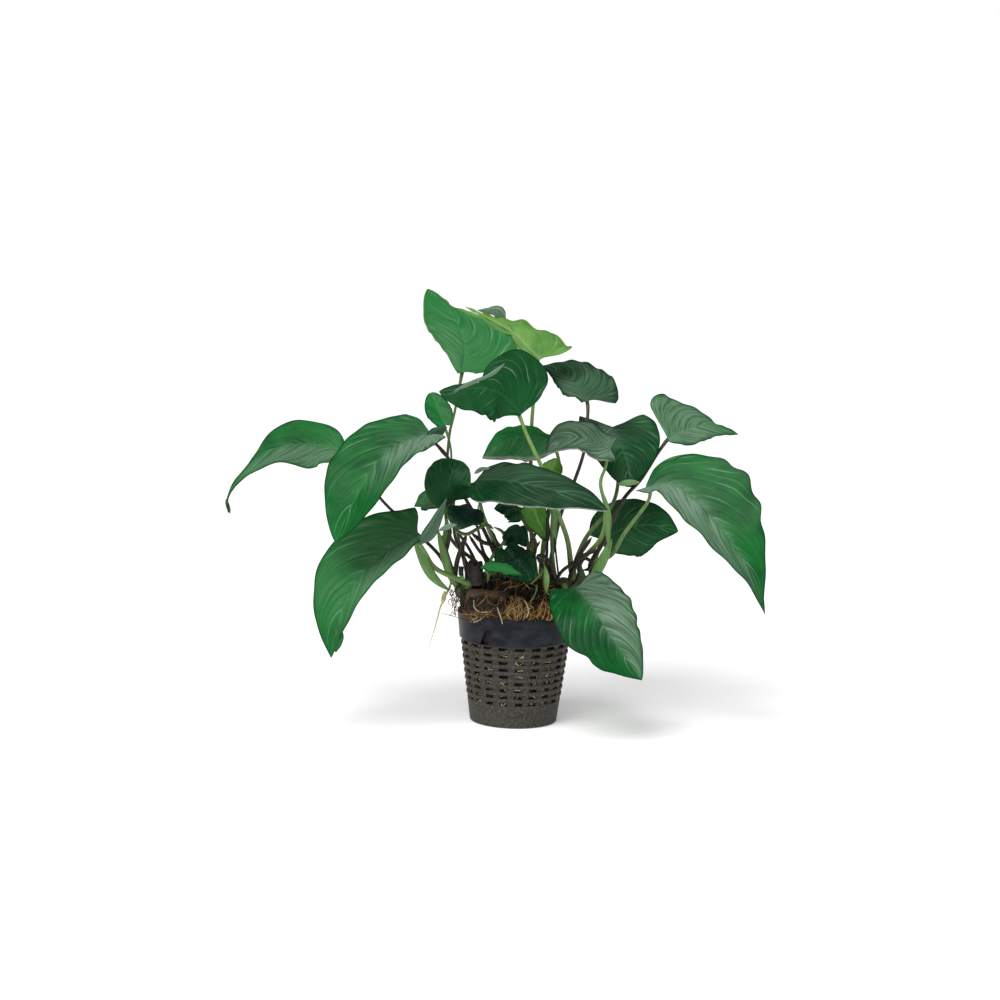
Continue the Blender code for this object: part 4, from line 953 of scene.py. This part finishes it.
def add_stray_fibres(pile, rng):
    """A loose knot of thin strands over the rim at the left."""
    for _ in range(STRAY_FIBRES):
        place = np.array((rng.gauss(-26.6, 1.0), rng.gauss(-7, 3), rng.uniform(51, 60)))
        heading = rng.uniform(0, TAU)
        path = []
        for _ in range(7):
            path.append(tuple(place))
            heading += rng.gauss(0, 0.8)
            place = place + np.array((0.7 * math.cos(heading), rng.gauss(0, 0.5), math.sin(heading))) * 0.8
        radii = np.full(12, rng.uniform(0.10, 0.20))
        pile.add(*tube(smooth_path(path, 12), radii, 4), rng.choice(STRAY_TONES))


def add_fibres(material):
    """Loose strands over the medium's crown and behind the net's slots, and tufts at the rim."""
    rng = random.Random(11)
    pile = Pile()
    add_crown_fibres(pile, rng)
    add_wall_fibres(pile, rng)
    add_tufts(pile, rng)
    add_stray_fibres(pile, rng)
    for path in PALE_ROOTS:
        radii = tapered(0.26, 0.3, 0.3, 24)
        pile.add(*tube(smooth_path(path, 24), radii, 6, normal=(0, 1, 0.1)), 0.90)
    pile.finish("medium_fibres", material, "growing_medium")


def add_stems(name, slot, material, low, high):
    """The small stems, sheaths and buds whose tone lies from low to high."""
    pile = Pile()
    for path, radius, flat, tone in STEMS:
        if low <= tone < high:
            path = smooth_path(path, 30)
            share = np.linspace(0, 1, 30)
            if flat < 1:
                radii = radius * (0.08 + 0.92 * np.sin(math.pi * share) ** 0.8)
            else:
                radii = radius * (1 - 0.75 * np.maximum(np.abs(2 * share - 1) - 0.8, 0) / 0.2)
            pile.add(*tube(path, radii, 12, flat, (0.0, 1.0, 0.1)), tone)
    pile.finish(name, material, slot)


def add_curls(materials):
    """Rolled margins, turned lobes and small leaf bits, each a thin lens along a line."""
    for name, (tone, tint, pale, points, halves) in CURLS.items():
        path = smooth_path(points, CURL_RINGS)
        share = np.linspace(0, 1, CURL_RINGS)
        radii = np.interp(share, np.linspace(0, 1, len(halves)), halves)
        radii = radii * np.minimum(1, 0.15 + 4 * np.minimum(share, 1 - share)) ** 0.7
        body, faces = tube(path, radii, CURL_SIDES, CURL_FLATNESS, CURL_FACE)
        spread = np.tile(np.cos(TAU * np.arange(CURL_SIDES) / CURL_SIDES), CURL_RINGS)
        count = len(body)
        # A curl's "pale" is its share of painted sheen
        layers = dict(vein=2.5 * spread + 0.5, rib=np.full(count, 3.0), rim=np.full(count, 3.0),
                      tint=np.full(count, tint), pale=np.full(count, pale))
        add_mesh("curl_" + name, body, faces, materials[tone], layers)


def add_log(name, node, path, radius_at, rings, material, rough, scars, jagged=0.0):
    """A bumpy stem with ring scars, whose ends are rounded off, or torn at the last one."""
    sides = 40
    path = smooth_path(path, rings)
    share = np.linspace(0, 1, rings)
    radii = radius_at(share) * (1 + scars * np.abs(np.sin(math.pi * share * rings / 7)) ** 0.6 - scars / 2)
    radii *= np.minimum(1, 0.35 + np.minimum(share, 1 - share) * rings / 3.2) ** 0.5
    points, faces = tube(path, radii, sides, normal=(0.1, 0.2, 1.0))
    centre = np.repeat(path, sides, axis=0)
    outward = unit(points - centre)
    lumps = rough * (0.7 * noise_at(points, 2.6, 1.3) + 0.4 * noise_at(points, 1.0, 5.1))
    points = points + outward * lumps[:, None]
    torn = jagged * noise_at(points * np.array([1.0, 1.0, 0.0]), 1.5, 9.3)
    points = points + UP * (torn * np.repeat(share, sides) ** 6)[:, None]
    piece = add_mesh(name, points, faces, material)
    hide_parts(node)


def constant(value):
    """A radius that is the same along the whole log."""
    def radius_at(share):
        return np.full_like(share, value)
    return radius_at


def add_aerial_root(material):
    """The pale root that hangs outside the pot, with a hair at its end and a knob at its start."""
    pile = Pile()
    path = smooth_path(AERIAL_ROOT_PATH, 60)
    wobble = np.stack([noise_at(path, 5.0, 2.0), noise_at(path, 5.0, 4.0), 0 * path[:, 0]], axis=1)
    path = path + 0.5 * wobble
    pile.add(*tube(path, np.linspace(*AERIAL_ROOT_RADII, 60), 10), 0.9)
    hair = smooth_path((path[-2], *AERIAL_HAIR), 16)
    pile.add(*tube(hair, np.linspace(*AERIAL_HAIR_RADII, 16), 6), 0.9)
    knob = smooth_path(AERIAL_KNOB, 16)
    pile.add(*tube(knob, tapered(AERIAL_KNOB_RADIUS, 0.3, 1.0, 16), 10, 0.8), 0.5)
    piece = pile.finish("root_hanging", material, "root")
    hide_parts("aerial_root")


class Graph:
    """A material's nodes, where a value may be a socket, a number or a colour."""

    def __init__(self, name, specular=0.5):
        self.material = bpy.data.materials.new(name)
        self.material.use_nodes = True
        self.tree = self.material.node_tree
        self.shader = self.tree.nodes["Principled BSDF"]
        self.set("Specular IOR Level", specular)
        self.place = self.node("ShaderNodeTexCoord").outputs["Object"]

    def set(self, socket, value):
        self.put(self.shader.inputs[socket], value)

    def put(self, socket, value):
        """Links another node's socket, or sets a number or a colour."""
        if isinstance(value, bpy.types.NodeSocket):
            self.tree.links.new(value, socket)
        elif isinstance(value, tuple):
            socket.default_value = (*value, 1.0)
        else:
            socket.default_value = value

    def node(self, kind, **settings):
        node = self.tree.nodes.new(kind)
        for key, value in settings.items():
            setattr(node, key, value)
        return node

    def math(self, operation, *values):
        node = self.node("ShaderNodeMath", operation=operation)
        for socket, value in zip(node.inputs, values):
            self.put(socket, value)
        return node.outputs[0]

    def times(self, first, second):
        return self.math("MULTIPLY", first, second)

    def scaled(self, value, factor, offset):
        """Value times factor, plus offset."""
        return self.math("MULTIPLY_ADD", value, factor, offset)

    def noise(self, size, detail=3.0, rough=0.55, stretch=None):
        """Noise from 0 to 1 with lumps about as large as size, in millimetres."""
        place = self.place
        if stretch:
            mapping = self.node("ShaderNodeMapping")
            mapping.inputs["Scale"].default_value = stretch
            self.put(mapping.inputs["Vector"], self.place)
            place = mapping.outputs[0]
        return self.noise_from(place, 1 / (size * MM), detail, rough)

    def noise_from(self, place, scale, detail, rough):
        node = self.node("ShaderNodeTexNoise")
        for key, value in dict(Vector=place, Scale=scale, Detail=detail, Roughness=rough).items():
            self.put(node.inputs[key], value)
        return node.outputs[0]

    def streaks(self, lane, reach):
        """Noise from 0 to 1 that runs along a leaf's side veins, by vein and millimetres out."""
        place = self.node("ShaderNodeCombineXYZ")
        self.put(place.inputs[0], self.times(lane, 2.3))
        self.put(place.inputs[1], self.times(reach, 0.10))
        return self.noise_from(place.outputs[0], 1.0, 3.0, 0.5)

    def attribute(self, name):
        """A value that each point of the mesh carries."""
        return self.node("ShaderNodeAttribute", attribute_name=name).outputs["Fac"]

    def between(self, value, low, high, first=0.0, last=1.0):
        """Passes smoothly from first to last as value goes from low to high."""
        node = self.node("ShaderNodeMapRange", interpolation_type="SMOOTHSTEP")
        for socket, given in zip(node.inputs, (value, low, high, first, last)):
            self.put(socket, given)
        return node.outputs[0]

    def mix(self, share, first, last):
        node = self.node("ShaderNodeMix", data_type="RGBA")
        self.put(node.inputs[0], share)
        self.put(node.inputs[6], first)
        self.put(node.inputs[7], last)
        return node.outputs[2]

    def surface(self, colour, roughness, height, depth, strength):
        """The finished material, with a bump whose depth is in millimetres."""
        bump = self.node("ShaderNodeBump")
        for key, value in dict(Strength=strength, Distance=depth * MM, Height=height).items():
            self.put(bump.inputs[key], value)
        self.set("Base Color", colour)
        self.set("Roughness", roughness)
        self.set("Normal", bump.outputs[0])
        return self.material


LEAF_COLOURS = {
    "mid": dict(dark=(0.003, 0.050, 0.012), light=(0.010, 0.148, 0.026), vein=(0.045, 0.210, 0.070),
                under=(0.080, 0.190, 0.090)),
    "deep": dict(dark=(0.002, 0.024, 0.008), light=(0.008, 0.075, 0.019), vein=(0.040, 0.125, 0.055),
                 under=(0.080, 0.150, 0.090)),
    "young": dict(dark=(0.040, 0.170, 0.018), light=(0.170, 0.360, 0.060), vein=(0.260, 0.450, 0.120),
                  under=(0.180, 0.310, 0.080)),
}
# Painted sheen: a grey that stands in for light reflected off the leaves
PAINTED_SHEEN = (0.165, 0.250, 0.180)
GLINT = (0.250, 0.370, 0.270)
# Painted sheen on rolled margins: a pale grey for light reflected where they turn over
ROLLED_SHEEN = (0.230, 0.260, 0.220)
# Painted shade inside the margin of cupped, crinkled and shaded leaves
PAINTED_SHADE = (0.002, 0.014, 0.009)
DARK_MARGIN = (0.003, 0.018, 0.007)
YELLOW_MARGIN = (0.230, 0.300, 0.060)


def leaf_veins(g, rib):
    """The main side veins, the fine ones between them, and the streaks that run along them."""
    wander = g.scaled(g.noise(6.0, 2.0), 0.30, -0.15)
    phase = g.math("ADD", g.attribute("vein"), wander)
    main = g.between(g.math("PINGPONG", phase, 0.5), 0.0, 0.12, 1.0, 0.0)
    fine = g.between(g.math("PINGPONG", g.times(phase, 5.0), 0.5), 0.05, 0.4, 1.0, 0.0)
    return main, fine, g.streaks(phase, rib)


def leaf_green(g, colours, patch, lane):
    """The leaf's green, dark to light by cloudy patches and its tint, and by painted sheen in streaks along
    the veins.
    """
    share = g.math("ADD", g.between(patch, 0.3, 0.7, 0.0, 0.5), g.times(g.attribute("tint"), 0.45))
    share = g.scaled(lane, 0.55, share)
    return g.mix(g.between(share, 0.0, 1.2), colours["dark"], colours["light"])


def with_painted_sheen(g, colour, rim, main, fine, lane):
    """Adds painted sheen, a grey for reflected light that is strongest along the streaks and fades at the
    margin.
    """
    lit = g.scaled(main, 0.35, g.between(lane, 0.38, 0.62, 0.25, 0.85))
    painted_sheen = g.times(g.attribute("pale"), g.scaled(fine, 0.12, lit))
    painted_sheen = g.times(painted_sheen, g.between(rim, 0.4, 2.5, 0.3, 1.0))
    return g.mix(g.math("MINIMUM", painted_sheen, 1.0), colour, PAINTED_SHEEN)


def with_veins(g, colour, vein_colour, rib, rim, main, fine, lane):
    """Adds the side veins and the midrib, and a pale glint along some of the veins."""
    inner = g.between(rim, 0.5, 3.0)
    veins = g.times(g.scaled(fine, 0.05, g.times(main, 0.40)), inner)
    veins = g.times(veins, g.between(lane, 0.35, 0.65, 0.25, 1.0))
    colour = g.mix(veins, colour, vein_colour)
    colour = g.mix(g.between(rib, 0.2, 0.7, 0.35, 0.0), colour, vein_colour)
    glint = g.times(g.times(main, inner), g.between(lane, 0.52, 0.68, 0.0, 0.38))
    return g.mix(glint, colour, GLINT)


def with_margin(g, colour, rim, grain):
    """Adds painted shade inside the margin, the coloured edge, and painted sheen on the rolled margins."""
    # Painted shade, darkest inside the margin
    dim = g.times(g.attribute("dim"), g.between(rim, 1.0, 3.5))
    colour = g.mix(dim, colour, PAINTED_SHADE)
    edge = g.mix(g.attribute("margin"), DARK_MARGIN, YELLOW_MARGIN)
    colour = g.mix(g.between(rim, 0.15, 0.8, 0.9, 0.0), colour, edge)
    # Painted sheen where the margin rolls over
    roll = g.attribute("roll")
    reach = g.math("DIVIDE", rim, g.scaled(roll, 2.6, 0.001))
    rolled = g.times(g.between(reach, 0.5, 1.0, 1.0, 0.0), g.between(roll, 0.0, 0.3))
    return g.mix(g.times(rolled, g.between(grain, 0.3, 0.7, 0.5, 1.0)), colour, ROLLED_SHEEN)


def leaf_material(tone):
    """A blade's upper side and its paler, duller underside."""
    colours = LEAF_COLOURS[tone]
    g = Graph("leaf_" + tone, specular=0.07)
    patch = g.noise(14.0, 3.0)
    grain = g.noise(1.6, 4.0, 0.65)
    rib = g.attribute("rib")
    rim = g.attribute("rim")
    under = g.attribute("under")
    main, fine, lane = leaf_veins(g, rib)
    colour = leaf_green(g, colours, patch, lane)
    colour = with_painted_sheen(g, colour, rim, main, fine, lane)
    colour = with_veins(g, colour, colours["vein"], rib, rim, main, fine, lane)
    colour = with_margin(g, colour, rim, grain)
    below = g.mix(g.between(patch, 0.25, 0.75), colours["under"], colours["light"])
    below = g.mix(g.times(main, 0.4), below, colours["vein"])
    colour = g.mix(g.times(under, 0.8), colour, below)
    roughness = g.scaled(under, 0.25, g.scaled(grain, 0.12, 0.30))
    return g.surface(colour, roughness, g.scaled(grain, 0.5, g.times(fine, -0.35)), 0.05, 0.35)


STALK_COLOURS = dict(green=((0.070, 0.120, 0.032), (0.200, 0.340, 0.100)),
                     dark=((0.022, 0.017, 0.010), (0.070, 0.058, 0.034)))


def stalk_material(tone):
    """A streaky stalk that grows lighter towards its blade."""
    low, high = STALK_COLOURS[tone]
    g = Graph("stalk_" + tone, specular=0.30)
    streak = g.noise(1.2, 3.0, 0.6, stretch=(1.0, 1.0, 0.12))
    share = g.scaled(g.attribute("along"), 0.4, g.times(g.noise(9.0, 3.0), 0.5))
    share = g.scaled(g.attribute("tint"), 0.6, share)
    colour = g.mix(g.between(share, 0.1, 0.95), low, high)
    colour = g.mix(g.between(streak, 0.45, 0.75, 0.0, 0.45), colour, tuple(c * 0.45 for c in low))
    return g.surface(colour, g.scaled(streak, 0.25, 0.34), streak, 0.10, 0.4)


def ramp(graph, value, stops):
    """The colour at value between stops, each a place from 0 to 1 and its colour."""
    node = graph.node("ShaderNodeValToRGB")
    elements = node.color_ramp.elements
    while len(elements) < len(stops):
        elements.new(0.5)
    for element, (place, colour) in zip(elements, stops):
        element.position = place
        element.color = (*colour, 1.0)
    graph.put(node.inputs[0], value)
    return node.outputs[0]


# Colours by tone: of the small stems, from black-brown over olive to light green, and of the fibres
STEM_STOPS = ((0.0, (0.010, 0.008, 0.007)), (0.3, (0.045, 0.036, 0.022)),
              (0.6, (0.085, 0.125, 0.045)), (0.8, (0.130, 0.270, 0.075)),
              (1.0, (0.300, 0.480, 0.180)))
FIBRE_STOPS = ((0.00, (0.022, 0.013, 0.008)), (0.34, (0.110, 0.055, 0.022)),
               (0.55, (0.300, 0.170, 0.055)), (0.66, (0.560, 0.300, 0.070)),
               (0.76, (0.150, 0.042, 0.025)), (0.86, (0.480, 0.400, 0.200)),
               (0.94, (0.620, 0.560, 0.340)), (1.00, (0.012, 0.010, 0.008)))


def stem_material():
    """Streaky, and coloured by each stem's tone."""
    g = Graph("small_stems", specular=0.25)
    streak = g.noise(1.0, 3.0, 0.6, stretch=(1.0, 1.0, 0.15))
    value = g.math("ADD", g.attribute("tone"), g.scaled(streak, 0.3, -0.15))
    return g.surface(ramp(g, value, STEM_STOPS), g.scaled(streak, 0.2, 0.36), streak, 0.12, 0.5)


def pot_material():
    """Black plastic, cloudy on the collar and dusty on the net."""
    g = Graph("pot_plastic", specular=0.12)
    cloud = g.noise(7.0, 3.0, 0.5, stretch=(1.0, 1.0, 1.6))
    dust = g.noise(0.9, 4.0, 0.7)
    split = g.node("ShaderNodeSeparateXYZ")
    g.put(split.inputs[0], g.place)
    is_net = g.between(split.outputs[2], (NET_HEIGHT - 0.3) * MM, (NET_HEIGHT + 0.1) * MM, 1.0, 0.0)
    collar = g.mix(g.between(cloud, 0.35, 0.7), (0.007, 0.008, 0.011), (0.020, 0.024, 0.032))
    net = g.mix(g.between(dust, 0.35, 0.7), (0.030, 0.028, 0.025), (0.085, 0.080, 0.066))
    net = g.mix(g.between(dust, 0.68, 0.80, 0.0, 0.4), net, (0.20, 0.19, 0.16))
    roughness = g.scaled(is_net, 0.15, g.scaled(cloud, 0.20, 0.26))
    height = g.scaled(g.times(dust, is_net), 0.5, cloud)
    return g.surface(g.mix(is_net, collar, net), roughness, height, 0.04, 0.3)


def medium_material():
    """Dark lumpy ground, which has tone -1, and fibres coloured by tone from 0 to 1, with painted shade in
    patches.
    """
    g = Graph("growing_medium", specular=0.3)
    lump = g.noise(2.0, 5.0, 0.7)
    tone = g.attribute("tone")
    ground = g.mix(g.between(lump, 0.4, 0.8), (0.006, 0.004, 0.003), (0.050, 0.030, 0.018))
    # The fibres darken in noisy patches: painted shade
    strands = g.mix(g.between(lump, 0.3, 0.8, 0.4, 0.0), ramp(g, tone, FIBRE_STOPS),
                    (0.02, 0.012, 0.006))
    colour = g.mix(g.between(tone, -0.5, -0.1), ground, strands)
    return g.surface(colour, g.scaled(lump, 0.3, 0.6), lump, 0.4, 0.8)


def bark_material(name, low, high):
    """Lumpy bark with cloudy patches from low to high."""
    g = Graph(name)
    lump = g.noise(1.6, 5.0, 0.7)
    share = g.scaled(g.noise(6.0, 3.0), 0.6, g.times(lump, 0.5))
    colour = g.mix(g.between(share, 0.3, 0.8), low, high)
    return g.surface(colour, g.scaled(lump, 0.3, 0.5), lump, 0.4, 0.8)


def root_material():
    """Pale yellow."""
    g = Graph("root")
    lump = g.noise(1.5, 4.0, 0.6)
    colour = g.mix(g.between(lump, 0.3, 0.7), (0.420, 0.340, 0.130), (0.680, 0.620, 0.340))
    return g.surface(colour, g.scaled(lump, 0.2, 0.45), lump, 0.12, 0.5)


# The floor, in metres, lies a hair below the pot
FLOOR_SIZE = 60.0
FLOOR_DROP = 0.0002


def add_floor():
    """White paper, which glows a little so that it stays white behind the plant."""
    bpy.ops.mesh.primitive_plane_add(size=FLOOR_SIZE, location=(0, 0, -FLOOR_DROP))
    floor = bpy.context.object
    floor.name = "floor"
    g = Graph("floor_paper")
    g.set("Base Color", g.mix(g.noise(120.0), (0.90, 0.90, 0.90), (0.93, 0.93, 0.93)))
    g.set("Roughness", g.scaled(g.noise(20.0), 0.1, 0.75))
    g.set("Emission Color", (1.0, 1.0, 1.0))
    g.set("Emission Strength", 0.27)
    floor.data.materials.append(g.material)


def add_lamp(name, light, place, aim):
    """Places a lamp, in metres, so that it shines along aim."""
    lamp = bpy.data.objects.new(name, light)
    lamp.location = place
    lamp.rotation_euler = aim.to_track_quat("-Z", "Y").to_euler()
    bpy.context.scene.collection.objects.link(lamp)


# The even light from all round, what the soft boxes are aimed at, and the sun, whose spread is in
# degrees
STUDIO_LIGHT = 0.22
PLANT_MIDDLE = (0.0, 0.0, 0.10)
SUN_AIM = (0.45, 0.65, -1.0)
SUN_POWER = 2.6
SUN_SPREAD = 40

# Soft boxes: place, width and height in metres, and power
SOFT_BOXES = {
    "overhead": ((0.15, -0.30, 1.00), (0.9, 0.5), 3.0),
    "fill": ((0.9, -0.6, 0.35), (0.5, 0.7), 1.0),
}


def add_studio():
    """Even light from all round, and a background that the camera sees as pure white."""
    world = bpy.data.worlds.new("studio")
    bpy.context.scene.world = world
    world.use_nodes = True
    nodes = world.node_tree.nodes
    links = world.node_tree.links
    background = nodes["Background"]
    background.inputs["Color"].default_value = (1.0, 1.0, 1.0, 1.0)
    seen = nodes.new("ShaderNodeMapRange")
    seen.inputs["To Min"].default_value = STUDIO_LIGHT
    seen.inputs["To Max"].default_value = 1.0
    links.new(nodes.new("ShaderNodeLightPath").outputs["Is Camera Ray"], seen.inputs["Value"])
    links.new(seen.outputs[0], background.inputs["Strength"])


def add_lights():
    """A soft sun from the front left, and two soft boxes."""
    sun = bpy.data.lights.new("key", "SUN")
    sun.energy = SUN_POWER
    sun.angle = math.radians(SUN_SPREAD)
    add_lamp("key", sun, (0.0, 0.0, 0.0), Vector(SUN_AIM))
    for name, (place, size, power) in SOFT_BOXES.items():
        light = bpy.data.lights.new(name, "AREA")
        light.shape = "RECTANGLE"
        light.size, light.size_y = size
        light.energy = power
        add_lamp(name, light, place, Vector(PLANT_MIDDLE) - Vector(place))


# The camera looks a little down and is rolled a little
CAMERA_PLACE = (-8.49, -1177.5, 286.4)
CAMERA_DOWN = math.radians(9.0)
CAMERA_ROLL = math.radians(1.5)
CAMERA_LENS = 96.0


def add_camera():
    """A long lens in front of the plant."""
    camera = bpy.data.cameras.new("camera")
    camera.lens = CAMERA_LENS
    camera.sensor_width = 36.0
    camera.clip_end = 20.0
    forward = Vector((0, math.cos(CAMERA_DOWN), -math.sin(CAMERA_DOWN)))
    level = Vector((1, 0, 0))
    rise = level.cross(forward)
    right = level * math.cos(CAMERA_ROLL) + rise * math.sin(CAMERA_ROLL)
    up = rise * math.cos(CAMERA_ROLL) - level * math.sin(CAMERA_ROLL)
    holder = bpy.data.objects.new("camera", camera)
    turn = Matrix((right, up, -forward)).transposed()
    holder.matrix_world = Matrix.Translation(Vector(CAMERA_PLACE) * MM) @ turn.to_4x4()
    bpy.context.scene.collection.objects.link(holder)
    bpy.context.scene.camera = holder


BARK_COLOURS = dict(rhizome_bark=((0.018, 0.022, 0.010), (0.085, 0.095, 0.040)),
                    dead_rhizome=((0.020, 0.010, 0.006), (0.120, 0.060, 0.030)),
                    stump=((0.006, 0.005, 0.004), (0.035, 0.024, 0.017)))


def add_logs():
    """The living rhizome, the old one in front and the torn stump at the left."""
    bark, dead, stump = [bark_material(name, *colours) for name, colours in BARK_COLOURS.items()]
    add_log("rhizome_skin", "rhizome", RHIZOME_PATH, rhizome_radius, 120, bark,
            rough=0.7, scars=0.12)
    add_log("old_rhizome_skin", "old_rhizome", OLD_RHIZOME_PATH, constant(OLD_RHIZOME_RADIUS), 50,
            dead, rough=0.6, scars=0.10)
    add_log("stump_skin", "rhizome_stump", STUMP_PATH, constant(STUMP_RADIUS + 0.4), 40, stump,
            rough=0.6, scars=0.06, jagged=2.5)


def main():
    """The whole picture, from the pot up."""
    leaf_materials = {tone: leaf_material(tone) for tone in LEAF_COLOURS}
    stalk_materials = {tone: stalk_material(tone) for tone in STALK_COLOURS}
    soil = medium_material()
    add_pot(pot_material())
    add_medium(soil)
    add_fibres(soil)
    add_logs()
    add_aerial_root(root_material())
    stem = stem_material()
    add_curls(leaf_materials)
    add_stems("stems_dark", "stalk_dark", stem, 0.0, 0.5)
    add_stems("stems_green", "stalk_green", stem, 0.5, 1.1)
    for name, details in LEAVES.items():
        leaf = PLAIN_LEAF | details
        add_blade(name, leaf, leaf_materials[leaf["tone"]])
        add_stalk(name, leaf, stalk_materials[leaf["stalk"]])
    add_floor()
    add_studio()
    add_lights()
    add_camera()
    bpy.context.scene.view_settings.view_transform = "Standard"


main()
